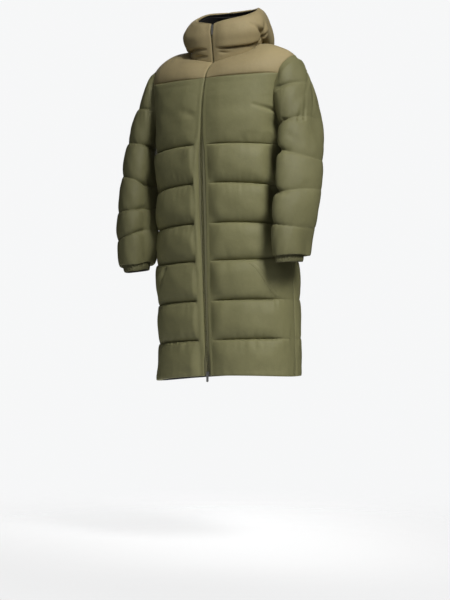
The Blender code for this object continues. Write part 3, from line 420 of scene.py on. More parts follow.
def back_neck_seam():
    """(angle in degrees, point) from the neck's side to the middle of the back."""
    seam = []
    for part in BACK_NECK_PARTS:
        angle = mix(math.pi / 2, math.pi, smooth_row(BACK_NECK, part)[0])
        seam.append((math.degrees(angle), neck_point(angle)))
    return seam


FRONT_SEAM, BACK_SEAM = front_neck_seam(), back_neck_seam()
HOOD_SIDE_SEAM = FRONT_SEAM + [place for place, part in zip(BACK_SEAM, BACK_NECK_PARTS)
                               if part <= HOOD_CENTRE_PART + TINY][1:]
HOOD_CENTRE_SEAM = [place for place, part in zip(BACK_SEAM, BACK_NECK_PARTS)
                    if part >= HOOD_CENTRE_PART - TINY]


def yoke_front_grid(front_row):
    heads = [(point, angle * 0.5) for angle, point in FRONT_SEAM]
    for part in FRONT_PARTS:
        if part > FRONT_NECK_END + TINY:
            t = smooth_row(FRONT_RIDGE, part)[0]
            heads.append((ridge_point(t), mix(YOKE_FAN, 0.0, t)))
    places = [0.0] * (LIP_STEPS + 1) + FRONT_PARTS
    columns = []
    for foot, (head, turn), part in zip(front_row, heads, places):
        reach = mix(YOKE_LEVEL_MIDDLE, YOKE_LEVEL_TIP, ease(0.2 + 0.8 * part))
        columns.append(yoke_column(foot, head, turn, reach, back=False))
    return rows_of(columns)


def yoke_back_grid(back_row):
    heads = []
    for part in HALF_BACK:
        if part < BACK_NECK_START - TINY:
            t = smooth_row(BACK_RIDGE, part)[0]
            heads.append((ridge_point(t), mix(YOKE_FAN, 0.0, t)))
    heads += [(point, (180.0 - angle) * 0.5) for angle, point in BACK_SEAM]
    columns = []
    for foot, (head, turn), part in zip(back_row, heads, HALF_BACK):
        reach = mix(YOKE_LEVEL_TIP, YOKE_LEVEL_MIDDLE, ease(2 * part))
        columns.append(yoke_column(foot, head, turn, reach, back=True))
    return with_mirror(columns)


# ---------------------------------------------------------------- sleeves
def arm_ring_point(z, turn):
    x, y, across, along, pressed = smooth_row(ARM, z)
    long_axis = Vector((-math.sin(math.radians(ARM_TURN)), -math.cos(math.radians(ARM_TURN)), 0))
    short_axis = Vector((-long_axis.y, long_axis.x, 0))
    offset = short_axis * across * math.cos(turn) + long_axis * along * math.sin(turn)
    offset -= short_axis * pressed * max(0.0, math.cos(turn - PRESSED_TURN)) ** 2
    return Vector((x, y, z)) + offset


def armhole_loop(front, back, yoke_front, yoke_back):
    """The seam's points round the armhole, from the shoulder tip forward."""
    loop = [row[-1] for row in reversed(yoke_front)]
    loop += [front[rank][-1] for rank in range(1, UNDERARM_ROW + 1)]
    loop += [back[rank][0] for rank in range(UNDERARM_ROW - 1, -1, -1)]
    loop += [row[0] for row in yoke_back[1:-1]]
    return loop


def loop_turns(loop):
    middle_z = (ARMHOLE_TOP + UNDERARM_Z) / 2
    half = (ARMHOLE_TOP - UNDERARM_Z) / 2
    turns = []
    for point in loop:
        rise = (point.z - middle_z) / half
        forward = (SHOULDER_TIP[1] - point.y) / ARMHOLE_REACH
        turns.append(math.atan2(forward, rise) % (2 * math.pi))
    turns[0] = 0.0
    return turns


def evened(turns):
    count = len(turns)
    return [mix(turn, 2 * math.pi * i / count, 0.5) for i, turn in enumerate(turns)]


def cap_column(start, turn):
    end = arm_ring_point(CAP_END_Z, turn)
    below = arm_ring_point(ARM[1].z, turn)
    up = math.cos(turn)
    out = Vector((CAP_OUT + CAP_OUT_BY_HEIGHT * up, CAP_FORWARD * math.sin(turn),
                  CAP_DOWN + CAP_DOWN_BY_HEIGHT * up)).normalized()
    down = (below - end).normalized()
    chord = (end - start).length
    start_slope, end_slope = out * chord * CAP_START_PULL, down * chord * CAP_END_PULL
    return lambda t: hermite(start, start_slope, end, end_slope, t)


def sleeve_grid(loop):
    """Columns from the armhole to the cuff, cut into even steps above and below CAP_END_Z."""
    turns = evened(loop_turns(loop))
    columns = []
    for start, turn in zip(loop, turns):
        cap = cap_column(start, turn)
        points = [cap(i / CAP_STEPS) for i in range(CAP_STEPS + 1)]
        points += [arm_ring_point(mix(CAP_END_Z, SLEEVE_END_Z, i / ARM_STEPS), turn)
                   for i in range(1, ARM_STEPS + 1)]
        columns.append(points)
    return softened(rows_of(columns)), turns


def softened(grid):
    """Soften the ridge that runs down from the corner of the armhole."""
    for i in range(1, len(grid)):
        row = grid[i]
        for _ in range(min(i, CAP_SOFTENING)):
            row = [(row[j - 1] + row[j] * 2 + row[(j + 1) % len(row)]) / 4
                   for j in range(len(row))]
        grid[i] = row
    return grid


def cuff_grid(sleeve_end):
    centre = Vector((ARM[-1].x, ARM[-1].y, ARM[-1].z))
    grid = []
    for rank in range(CUFF_STEPS + 1):
        t = rank / CUFF_STEPS
        scale = mix(1.0, CUFF_END_SCALE, ease(t * CUFF_GATHER))
        shift = Vector(CUFF_AXIS).normalized() * CUFF_LENGTH * t
        grid.append([centre + (point - centre) * scale + shift for point in sleeve_end])
    return grid


# ---------------------------------------------------------------- hood and collar
def hood_point(angle, station):
    flat = [(row.angle, row[station + 1][0], row[station + 1][1]) for row in HOOD]
    radius, z = smooth_row(flat, angle)
    turn = math.radians(angle)
    return Vector((radius * math.sin(turn), NECK_CENTRE_Y - radius * math.cos(turn), z))


def hood_column(angle, base):
    knots = [base] + [hood_point(angle, station) for station in range(1, len(HOOD_PUFF))]
    count = STATION_STEPS * (len(knots) - 1)
    return [smooth_list(knots, i / STATION_STEPS) for i in range(count + 1)]


def hood_side_grid():
    columns = [hood_column(*place) for place in HOOD_SIDE_SEAM]
    for column in columns[:LIP_STEPS + 1]:
        for point in column:
            point.x = column[0].x
    return rows_of(columns)


def hood_centre_grid():
    return with_mirror([hood_column(*place) for place in HOOD_CENTRE_SEAM])


# ---------------------------------------------------------------- pieces of cloth
class Piece:
    """A grid of points on the form, and the skins outside and inside it.

    rows_down tells which way the grid runs, and so which side of it is outward; a piece
    that wraps meets itself, as a sleeve does.
    """

    def __init__(self, name, slot, grid, rows_down, wraps=False):
        self.name, self.slot, self.grid = name, slot, grid
        self.rows_down, self.wraps = rows_down, wraps
        self.rows, self.columns = len(grid), len(grid[0])
        self.lipped = any(word in name for word in ("front_", "hood_side"))

    def mirror(self, name):
        grid = [[mirrored(point) for point in row] for row in self.grid]
        return Piece(name, self.slot, grid, not self.rows_down, self.wraps)

    def near(self, i, j, di, dj):
        i, j = i + di, j + dj
        if self.wraps:
            j %= self.columns
        if 0 <= i < self.rows and 0 <= j < self.columns:
            return self.grid[i][j]
        return None

    def raw_normal(self, i, j):
        here = self.grid[i][j]
        across = (self.near(i, j, 0, 1) or here) - (self.near(i, j, 0, -1) or here)
        down = (self.near(i, j, 1, 0) or here) - (self.near(i, j, -1, 0) or here)
        return self.outward(down, across)

    def outward(self, down, across):
        normal = down.cross(across)
        return (normal if self.rows_down else -normal).normalized()

    def lengths(self):
        """Distance along each row and down each column, in metres."""
        self.across = [[0.0] * self.columns for _ in range(self.rows)]
        self.down = [[0.0] * self.columns for _ in range(self.rows)]
        for i in range(self.rows):
            for j in range(1, self.columns):
                step = (self.grid[i][j] - self.grid[i][j - 1]).length
                self.across[i][j] = self.across[i][j - 1] + step
        for i in range(1, self.rows):
            for j in range(self.columns):
                step = (self.grid[i][j] - self.grid[i - 1][j]).length
                self.down[i][j] = self.down[i - 1][j] + step

    def cover(self, i, j):
        """How far a lip beside the zip leans over it."""
        if not self.lipped or j >= LIP_STEPS:
            return Vector()
        here = self.grid[i][j]
        reach = smooth_row(LIP_COVER, here.z)["right" in self.name] * (1 - j / LIP_STEPS) ** 0.8
        return Vector((math.copysign(reach, here.x), 0, 0))

    def make_skins(self, normals, wall):
        """wall(piece, i, j) gives the thickness outward and inward, and how far cloth hangs."""
        self.lengths()
        self.outer, self.inner = [], []
        for i in range(self.rows):
            self.outer.append([])
            self.inner.append([])
            for j in range(self.columns):
                normal = normals[seam_key(self.grid[i][j])]
                out, into, *hang = wall(self, i, j)
                middle, lean = self.grid[i][j], self.cover(i, j)
                hung = Vector((0, 0, -sum(hang)))
                self.outer[-1].append(posed(middle + normal * out - lean + hung))
                self.inner[-1].append(posed(middle - normal * into - lean))

    def thicken(self, normals, thick):
        """The skins of a thin sheet, from one normal for each point."""
        self.lengths()
        rows = [list(zip(*pair)) for pair in zip(self.grid, normals)]
        self.outer = [[posed(p + n * thick / 2) for p, n in row] for row in rows]
        self.inner = [[posed(p - n * thick / 2) for p, n in row] for row in rows]


def seam_key(point):
    return tuple(round(value, 5) for value in point)


def shared_normals(pieces):
    totals = {}
    for piece in pieces:
        for i in range(piece.rows):
            for j in range(piece.columns):
                key = seam_key(piece.grid[i][j])
                totals[key] = totals.get(key, Vector()) + piece.raw_normal(i, j)
    return {key: total.normalized() for key, total in totals.items()}


# centre and radius of a place on the plain form, and how far the cloth there is moved
Shift = namedtuple("Shift", "x y z radius dx dy dz")
SHIFTS = table(
    Shift,
    (-0.235, 0.0, -0.045, 0.055, 0.006, 0.0, 0.0070),
    (-0.275, 0.0, -0.120, 0.060, 0.012, 0.0, 0.0),
    (-0.320, -0.010, -0.260, 0.090, 0.007, 0.0, 0.0),
    (-0.330, -0.080, -0.420, 0.080, 0.005, 0.0, 0.0),
    (0.262, 0.0, -0.055, 0.040, -0.007, 0.0, 0.0),
    (0.300, 0.0, -0.200, 0.055, -0.0090, 0.0, 0.0),
    (0.325, -0.020, -0.285, 0.048, -0.0170, 0.0, 0.0),
    (0.320, -0.100, -0.600, 0.060, -0.0100, 0.0, 0.0),
    (0.125, 0.070, 0.075, 0.050, -0.0120, 0.0, 0.0),
    (-0.100, -0.020, 0.072, 0.045, 0.0120, 0.0, 0.0),
    (0.0, -0.142, -0.078, 0.048, 0.0, 0.0110, 0.0),
    (0.345, 0.0, -0.240, 0.060, -0.0120, 0.0, 0.0),
    (0.345, -0.090, -0.642, 0.048, -0.0160, 0.0, 0.0),
    (0.350, -0.090, -0.670, 0.034, -0.0130, 0.0, -0.0030),
    (0.245, -0.100, -0.665, 0.045, 0.0, 0.0, 0.0100),
    (-0.345, -0.090, -0.645, 0.048, 0.0020, 0.0, -0.0100),
    (-0.245, -0.100, -0.665, 0.045, 0.0, 0.0, 0.0100),
    (-0.250, -0.020, -0.860, 0.130, 0.0080, 0.0, 0.0),
)


def posed(point):
    """The stance: a lean, a sway, and the places where the filling stands off the plain form."""
    point = point.copy()
    for s in SHIFTS:
        gap = math.dist(point, (s.x, s.y, s.z)) / s.radius
        if gap < 2.5:
            point += Vector((s.dx, s.dy, s.dz)) * math.exp(-gap * gap)
    sway = smooth_row(SWAY, point.z)[0]
    return Vector((point.x + sway, point.y, point.z + LEAN * point.x))


def strided(count, wraps):
    """Indices of every third row or column, the last one included."""
    picked = list(range(0, count, INNER_STRIDE))
    if not wraps and picked[-1] != count - 1:
        picked.append(count - 1)
    return picked


def finished_mesh(bm, name):
    """A smooth mesh, its faces outward."""
    bmesh.ops.recalc_face_normals(bm, faces=bm.faces)
    for face in bm.faces:
        face.smooth = True
    mesh = bpy.data.meshes.new(name)
    bm.to_mesh(mesh)
    bm.free()
    return mesh


def tube(bm, rings):
    """Faces between rings of vertices, closed at both ends."""
    count = len(rings[0])
    for one, two in zip(rings, rings[1:]):
        for p in range(count):
            q = (p + 1) % count
            bm.faces.new((one[p], one[q], two[q], two[p]))
    bm.faces.new(rings[0])
    bm.faces.new(rings[-1])


def cloth_mesh(piece, inner_slot=1):
    """Closed mesh: fine outside, coarser inside, and the edges that join them."""
    bm = bmesh.new()
    uv = bm.loops.layers.uv.new("cloth")
    rows, columns, wraps = piece.rows, piece.columns, piece.wraps
    place = {}
    outer = [[bm.verts.new(p) for p in row] for row in piece.outer]
    for i in range(rows):
        for j in range(columns):
            place[outer[i][j]] = (piece.across[i][j], piece.down[i][j])
    picked_rows, picked_columns = strided(rows, False), strided(columns, wraps)
    inner = [[bm.verts.new(piece.inner[i][j]) for j in picked_columns] for i in picked_rows]
    for a, i in enumerate(picked_rows):
        for b, j in enumerate(picked_columns):
            place[inner[a][b]] = (piece.across[i][j], piece.down[i][j])
    spans = columns if wraps else columns - 1
    for i in range(rows - 1):
        for j in range(spans):
            k = (j + 1) % columns
            bm.faces.new((outer[i][j], outer[i + 1][j], outer[i + 1][k], outer[i][k]))
    inner_faces = []
    wide = len(picked_columns)
    for a in range(len(picked_rows) - 1):
        for b in range(wide if wraps else wide - 1):
            c = (b + 1) % wide
            inner_faces.append(bm.faces.new(
                (inner[a][b], inner[a][c], inner[a + 1][c], inner[a + 1][b])))
    for side, i in ((0, 0), (-1, rows - 1)):
        for b in range(wide if wraps else wide - 1):
            c = (b + 1) % wide
            stop = picked_columns[c] if c else columns
            line = [outer[i][j % columns] for j in range(picked_columns[b], stop + 1)]
            bm.faces.new(line + [inner[side][c], inner[side][b]])
    if not wraps:
        for side, j in ((0, 0), (-1, columns - 1)):
            for a in range(len(picked_rows) - 1):
                line = [outer[i][j] for i in range(picked_rows[a], picked_rows[a + 1] + 1)]
                bm.faces.new(line + [inner[a + 1][side], inner[a][side]])
    for face in inner_faces:
        face.material_index = inner_slot
    for face in bm.faces:
        for loop in face.loops:
            loop[uv].uv = place[loop.vert]
    return finished_mesh(bm, piece.name)


# ---------------------------------------------------------------- padding and puckers
PUFF_TOP = 0.42            # place of a baffle's fullest part
PUFF_STEP, PUFF_STEP_HEIGHT = 0.085, 0.50   # the short steep rise below a sewn line
PUFF_ROUND, PUFF_FALL = 2.3, 0.85           # the long fall to the next line
SINK, SLEEVE_SINK = 0.0045, 0.0030          # the sewn lines lie this much inside the plain form
PUCKER_LENGTH = 0.020      # distance between puckers along a seam
PUCKER_REACH = 0.011       # distance from the seam at which they stand highest
BODY_PUCKER, SLEEVE_PUCKER, YOKE_PUCKER, HOOD_PUCKER = 0.0016, 0.0014, 0.0006, 0.0009
PUCKER_WANDER = 0.006      # how far a pucker strays along its seam
YOKE_SEAM_PUCKERS = 0.35   # height of the puckers below the yoke seam, as a share
EDGE_PUCKER = 0.0011       # height of the puckers along a panel's side edges
PUCKER_FADE = 0.012        # the others fade this close to those edges
SINK_FADE = 0.2            # in baffles: the sink fades at the yoke seam and the hem
SIDE_SOFTNESS, HEM_SOFTNESS = 0.78, 0.45    # how much shallower the lines are there
SIDE_FLATNESS = 0.51       # how much less the filling stands at the side seams
SIDE_START, SIDE_RUN = 0.5, 0.4   # where a panel's side begins and how soon it is full
HANG, SLEEVE_HANG, LAST_HANG = 0.0130, 0.0100, 0.0750   # how far cloth hangs over a line
SIDE_HANG_LOSS = 0.7       # how much less it hangs at the side seams
CHEST_HEIGHT, CHEST_FULL = 0.9, 0.62        # of the chest's padding, and where it starts to fall
LIP_UNEVENNESS = 0.30


def puff_profile(t, soft=0.0):
    """0 at the two lines of a baffle and 1 over its full part."""
    t = min(max(t, 0.0), 1.0)
    if t < PUFF_TOP:
        step = min(1.0, (1.0 - max(0.0, 1.0 - t / PUFF_STEP) ** 2 + soft) ** 0.5)
        climb = 1.0 - (1.0 - t / PUFF_TOP) ** 2
        return mix(climb, step, PUFF_STEP_HEIGHT)
    fall = (t - PUFF_TOP) / (1.0 - PUFF_TOP)
    return min(1.0, (1.0 - fall ** PUFF_ROUND + soft) ** PUFF_FALL)


def soft_profile(t, length):
    """The same, with a valley about 4 mm wide, for lines that leave the mesh's rows."""
    return puff_profile(t, min(0.02, 0.0008 / length))


def lip_values(piece, z):
    """Height of a piece's lip and the reach of the slope beside it."""
    left_rise, right_rise, left_reach, right_reach = smooth_row(LIP_RISE, z)
    if "right" in piece.name:
        return right_rise, right_reach
    return left_rise, left_reach


def beside_zip(piece, i, j, out):
    """The filling's height, led down to the lip along the zip."""
    rise, reach = lip_values(piece, piece.grid[i][j].z)
    beside = piece.across[i][j] - piece.across[i][LIP_STEPS]
    return mix(rise, out, ease(0.5 + 0.5 * beside / reach) * 2 - 1)


def zip_taper(part, lipped):
    """edge_taper, but full towards the zip of a front piece."""
    return 1.0 if lipped and part < 0.5 else edge_taper(part)


def edge_taper(part):
    if not 0.0 < part < 1.0:
        return 0.0
    return min(1.0, EDGE_GAIN * math.sin(math.pi * part) ** EDGE_POWER)


def puckers(along, away, seed):
    """Height of the small folds that stand off a sewn line."""
    if away > 8 * PUCKER_REACH:
        return 0.0
    wander = along + PUCKER_WANDER * wave(along * 20, away * 25, seed)
    folds = 1.0 - 2.6 * abs(wave(wander / PUCKER_LENGTH, seed * 3.7, away * 9))
    folds += 0.5 * wave(wander / PUCKER_LENGTH * 2.3, seed + 11.0, away * 20)
    here = away / PUCKER_REACH
    reach = 0.75 + 0.9 * wave(along * 17, seed * 5.1)
    return folds * here * math.exp(1 - here) * max(reach, 0.1)


def lumps(along, down, seed):
    """Uneven filling, as a share of the fullness."""
    return 1.0 + 0.22 * wave(along * 9, down * 11, seed) + 0.12 * wave(along * 23, down * 25, seed)


def body_wall(parts, seed, crease_list):
    """Wall of a front or back panel; parts give each column's place across it, or None."""

    def wall(piece, i, j):
        part = parts[j]
        if part is None:
            return HALF_WALL + lip_swell(piece, i, j, seed), HALF_WALL
        lipped = parts[0] is None
        v = row_place(i)
        baffle = min(int(v), len(QUILT) - 2)
        t = v - baffle
        point = piece.grid[i][j]
        across, down = piece.across[i][j], piece.down[i][j]
        if baffle <= CHEST_ROW:
            top, bottom = 0, CHEST_ROW + 1
            t = v / bottom
            profile = chest_profile(t)
            fullness = mix(QUILT[0].fullness, QUILT[1].fullness, t)
        else:
            top, bottom = baffle, baffle + 1
            profile = puff_profile(t)
            fullness = QUILT[baffle].fullness
        upper = down - piece.down[top * STEPS_IN_BAFFLE][j]
        lower = piece.down[bottom * STEPS_IN_BAFFLE][j] - down
        taper = zip_taper(part, lipped)
        side = side_share(piece, part)
        hang = (HANG * profile * t ** 2 * taper * (1 - SIDE_HANG_LOSS * side)
                * QUILT[bottom].pinch)
        profile = 1.0 - (1.0 - SIDE_SOFTNESS * side) * (1.0 - profile)
        fullness *= 1.0 - SIDE_FLATNESS * side
        if v > len(QUILT) - 2:
            profile = mix(profile, 1.0, HEM_SOFTNESS * ease(2 * t - 1))
        swell = fullness * profile * taper * lumps(across, down, seed)
        out = OUTER_PUFF * swell
        fold = puckers(across, upper, seed + top) * (YOKE_SEAM_PUCKERS if top == 0 else 1.0)
        fold += puckers(across, lower, seed + bottom)
        edge = min(across, piece.across[i][-1] - across)
        out += BODY_PUCKER * fold * min(1.0, edge / PUCKER_FADE)
        out += EDGE_PUCKER * puckers(down, edge, seed + 40.5) * taper
        out -= creases(point.x, point.z, crease_list) * min(1.0, edge / CREASE_EDGE)
        sink = SINK * taper * (1 - side) * min(1.0, (len(QUILT) - 1 - v) / SINK_FADE)
        sink *= min(1.0, v / SINK_FADE)
        out -= sink
        if lipped:
            out = beside_zip(piece, i, j, out)
        return HALF_WALL + out, HALF_WALL + max(INNER_PUFF * swell + sink, -out), hang

    return wall


def side_share(piece, part):
    """0 over the middle of a front or back, 1 at its side seam."""
    if piece.name == "back":
        part = 2 * abs(part - 0.5)
    return ease((part - SIDE_START) / SIDE_RUN)


def chest_profile(t):
    """The tall, flatter panel between the yoke seam and the first sewn line."""
    fall = max(0.0, (t - CHEST_FULL) / (1.0 - CHEST_FULL))
    return CHEST_HEIGHT * math.sqrt(max(0.0, (1 - (1 - t) ** 5) * (1 - fall ** 2.2)))


def lip_swell(piece, i, j, seed):
    """The rounded lip beside the zip; the wearer's right one stands out."""
    part = j / LIP_STEPS
    height = (1.0 - (1.0 - part) ** 2.5) ** 0.6
    bumps = wave(piece.down[i][j] * 24, seed + 3.3)
    uneven = 1 + LIP_UNEVENNESS * bumps * math.sin(math.pi * part)
    return lip_values(piece, piece.grid[i][j].z)[0] * height * uneven


# a fold from one place to another; x goes across a panel, or round a sleeve or the hood
Crease = namedtuple("Crease", "x1 z1 x2 z2 width depth")
CREASE_EDGE = 0.006        # creases fade this close to a seam
LEFT_CREASES = table(
    Crease,
    (0.228, -0.219, 0.160, -0.193, 0.0052, 0.0130),
    (0.236, -0.226, 0.150, -0.206, 0.0110, -0.0030),
    (0.224, -0.238, 0.196, -0.266, 0.0090, 0.0050),
    (0.036, -0.150, 0.046, -0.238, 0.0130, 0.0018),
    (0.206, -0.395, 0.202, -0.255, 0.0190, 0.0240),
    (0.203, -0.460, 0.192, -0.640, 0.0190, 0.0240),
)
RIGHT_CREASES = table(
    Crease,
    (-0.024, -0.212, -0.062, -0.198, 0.0100, 0.0090),
    (-0.139, -0.690, -0.160, -0.736, 0.0048, 0.0110),
    (-0.070, -0.196, -0.160, -0.212, 0.0150, 0.0022),
    (-0.232, -0.220, -0.190, -0.200, 0.0100, 0.0045),
    (-0.200, -0.480, -0.200, -0.300, 0.0300, 0.0070),
    (-0.200, -0.980, -0.200, -0.560, 0.0300, 0.0085),
)
BACK_CREASES = table(
    Crease,
    (-0.228, -0.210, -0.150, -0.190, 0.0100, 0.0060),
    (0.228, -0.210, 0.145, -0.186, 0.0100, 0.0060),
    (-0.060, -0.200, 0.050, -0.206, 0.0160, 0.0020),
)
ARM_RADIUS = 0.060
LEFT_SLEEVE_CREASES = table(
    Crease,
    (-0.019, -0.082, 0.010, -0.170, 0.0055, 0.0050),
    (0.016, -0.252, 0.008, -0.160, 0.0055, 0.0045),
    (-0.028, -0.095, -0.018, -0.245, 0.0045, 0.0040),
    (0.096, -0.148, 0.024, -0.130, 0.0060, 0.0080),
    (0.088, -0.246, 0.038, -0.256, 0.0070, 0.0060),
    (0.034, -0.254, 0.026, -0.214, 0.0060, 0.0055),
    (0.146, -0.266, 0.098, -0.252, 0.0120, 0.0200),
    (0.130, -0.342, 0.062, -0.348, 0.0110, 0.0200),
    (0.128, -0.360, 0.118, -0.440, 0.0180, 0.0150),
    (0.130, -0.464, 0.060, -0.478, 0.0105, 0.0190),
    (0.110, -0.566, 0.060, -0.582, 0.0080, 0.0030),
    (0.060, -0.300, 0.030, -0.320, 0.0110, 0.0025),
)
RIGHT_SLEEVE_CREASES = table(
    Crease,
    (0.188, -0.590, 0.188, -0.480, 0.0240, -0.0210),
    (-0.188, -0.590, -0.188, -0.480, 0.0240, -0.0210),
    (0.172, -0.414, 0.122, -0.362, 0.0080, 0.0080),
    (0.150, -0.290, 0.100, -0.282, 0.0100, 0.0080),
    (0.150, -0.416, 0.090, -0.398, 0.0090, 0.0070),
    (0.145, -0.484, 0.090, -0.492, 0.0080, 0.0050),
    (0.146, -0.560, 0.070, -0.574, 0.0080, 0.0060),
    (0.060, -0.120, 0.070, -0.215, 0.0100, 0.0025),
)


def creases(x, z, crease_list):
    """Depth of the large folds at a place, each deepest at its start and faded at its end."""
    depth = 0.0
    for c in crease_list:
        dx, dz = c.x2 - c.x1, c.z2 - c.z1
        along = ((x - c.x1) * dx + (z - c.z1) * dz) / (dx * dx + dz * dz)
        nearest = min(max(along, 0.0), 1.0)
        gap = math.hypot(x - c.x1 - nearest * dx, z - c.z1 - nearest * dz)
        if gap < 3 * c.width:
            depth += c.depth * math.exp(-(gap / c.width) ** 2) * (1 - 0.8 * ease(nearest))
    return depth


def yoke_wall(parts, seed):

    def wall(piece, i, j):
        part = parts[j]
        if part is None:
            return HALF_WALL + lip_swell(piece, i, j, seed), HALF_WALL
        lipped = parts[0] is None
        taper = edge_taper(i / YOKE_STEPS) * zip_taper(part, lipped)
        across, down = piece.across[i][j], piece.down[i][j]
        last = piece.down[-1][j]
        swell = taper * lumps(across, down, seed + 7)
        fold = puckers(across, down, seed + 0.2) + puckers(across, last - down, seed + 9.4)
        out = max(YOKE_PUFF * swell + YOKE_PUCKER * fold * taper, 0.0)
        if lipped:
            out = beside_zip(piece, i, j, out)
        return HALF_WALL + out, HALF_WALL + YOKE_INNER_PUFF * swell

    return wall


# a quilt line round a sleeve: its height and depth outward, in front, inward and behind
Around = namedtuple("Around", "outward front inward behind")
SleeveLine = namedtuple("SleeveLine", "height depth")
LEFT_LINES = (
    SleeveLine(Around(-0.130, -0.141, -0.150, -0.135), Around(0.15, 0.90, 1.00, 0.15)),
    SleeveLine(Around(-0.240, -0.252, -0.268, -0.252), Around(0.25, 1.00, 1.00, 0.20)),
    SleeveLine(Around(-0.367, -0.338, -0.330, -0.372), Around(0.60, 1.00, 1.00, 0.35)),
    SleeveLine(Around(-0.468, -0.474, -0.468, -0.470), Around(0.50, 1.00, 1.00, 0.25)),
    SleeveLine(Around(-0.585, -0.573, -0.566, -0.580), Around(0.40, 1.00, 1.00, 0.25)),
)
RIGHT_LINES = (
    SleeveLine(Around(-0.164, -0.170, -0.178, -0.160), Around(0.25, 0.80, 1.00, 0.40)),
    SleeveLine(Around(-0.275, -0.282, -0.292, -0.276), Around(0.35, 1.00, 1.00, 0.40)),
    SleeveLine(Around(-0.381, -0.399, -0.418, -0.385), Around(0.40, 1.00, 1.00, 0.40)),
    SleeveLine(Around(-0.499, -0.495, -0.491, -0.492), Around(0.35, 1.00, 1.00, 0.40)),
    SleeveLine(Around(-0.588, -0.571, -0.560, -0.575), Around(0.55, 1.00, 0.60, 0.40)),
)
SLEEVE_DENT = -0.016       # the deepest a sleeve's skin goes inside its plain form
FULL_DEPTH = 1.0           # of a sleeve's two ends
ARMHOLE_PUCKERS = 0.4      # height of the puckers at the armhole, as a share
PUCKER_RUN_IN, SINK_RUN_IN = 0.03, 0.02     # how far below the armhole they are full


def around(values, turn):
    """A smooth curve round the sleeve through four values."""
    out, front, inward, behind = values
    return ((out + front + inward + behind) / 4 + (out - inward) / 2 * math.cos(turn)
            + (front - behind) / 2 * math.sin(turn)
            + (out - front + inward - behind) / 4 * math.cos(2 * turn))


def crossing(piece, j, z):
    """Distance down a sleeve's column where it comes to a height; None above its start."""
    if piece.grid[0][j].z <= z:
        return None
    for i in range(1, piece.rows):
        upper, lower = piece.grid[i - 1][j].z, piece.grid[i][j].z
        if lower <= z:
            t = (upper - z) / max(upper - lower, 1e-9)
            return mix(piece.down[i - 1][j], piece.down[i][j], t)
    return None


def sleeve_bounds(piece, lines, turns):
    """For each column, (distance down, depth) of the seam, the lines that it meets, the end."""
    bounds = []
    for j, turn in enumerate(turns):
        found = [(0.0, FULL_DEPTH)]
        for line in lines:
            down = crossing(piece, j, around(line.height, turn))
            if down is not None:
                found.append((down, around(line.depth, turn)))
        found.append((piece.down[-1][j], FULL_DEPTH))
        bounds.append(found)
    return bounds


def round_sleeve(piece, i, j):
    """Distance round a sleeve, counted both ways so that it meets itself."""
    row = piece.grid[i]
    total = piece.across[i][-1] + (row[0] - row[-1]).length
    return min(piece.across[i][j], total - piece.across[i][j])


def sleeve_wall(turns, lines, seed, fold_list):
    cache = {}

    def wall(piece, i, j):
        if not cache:
            cache["bounds"] = sleeve_bounds(piece, lines, turns)
        bounds = cache["bounds"][j]
        across, down = round_sleeve(piece, i, j), piece.down[i][j]
        k = 0
        while k < len(bounds) - 2 and down > bounds[k + 1][0]:
            k += 1
        (top, top_depth), (bottom, bottom_depth) = bounds[k], bounds[k + 1]
        length = max(bottom - top, 1e-6)
        t = (down - top) / length
        depth = mix(top_depth, bottom_depth, ease(t * 1.6 if k == 0 else t))
        room = min(1.0, length / SLEEVE_FULL_BAFFLE) ** 0.7
        inward = (1 - math.cos(turns[j])) / 2
        profile = soft_profile(t, length)
        most = LAST_HANG if k == len(bounds) - 2 else SLEEVE_HANG
        hang = most * profile * t ** 2 * bottom_depth * room
        profile = 1.0 - depth * (1.0 - profile)
        swell = profile * room * (1 - SLEEVE_PRESSED_SHARE * inward ** 2)
        swell = max(swell * lumps(across, down, seed), 0.0)
        fold = puckers(across, down - top, seed + k) * top_depth
        fold *= ARMHOLE_PUCKERS if k == 0 else 1.0
        fold += puckers(across, bottom - down, seed + k + 1) * bottom_depth
        fold *= min(1.0, down / PUCKER_RUN_IN)
        out = SLEEVE_PUFF * swell + SLEEVE_PUCKER * fold * room
        signed = (turns[j] + math.pi) % (2 * math.pi) - math.pi
        out -= creases(signed * ARM_RADIUS, piece.grid[i][j].z, fold_list)
        seam = min(1.0, down / SINK_RUN_IN)
        sink = SLEEVE_SINK * min(seam, (piece.down[-1][j] - down) / SINK_RUN_IN)
        out = max(out, SLEEVE_DENT) * seam - sink
        into = max(SLEEVE_INNER_PUFF * swell * seam + sink, -out)
        return HALF_WALL + out, HALF_WALL + into, hang

    return wall


CUFF_GATHERS, CUFF_RIBS = 0.0016, 0.0006    # heights of the gathers and the elastic's ribs
CUFF_ROLL, CUFF_TURN_IN = 0.0006, 0.0022    # its fullness, and how far its end turns in
CUFF_LOWEST, CUFF_STAND = -0.0012, 0.0002   # its deepest dent, and its height over the form


def cuff_wall(seed):

    def wall(piece, i, j):
        t = i / CUFF_STEPS
        across = round_sleeve(piece, i, j)
        gathers = CUFF_GATHERS * wave(across * 150, t * 0.6, seed)
        gathers += CUFF_RIBS * math.sin(across * 700)
        roll = CUFF_ROLL * math.sin(math.pi * t)
        edge = CUFF_TURN_IN * t ** 8
        out = max(gathers * min(1.0, 3 * t, 4 * (1 - t)), CUFF_LOWEST) + roll - edge
        return HALF_WALL + CUFF_STAND + out, HALF_WALL + 0.4 * edge

    return wall


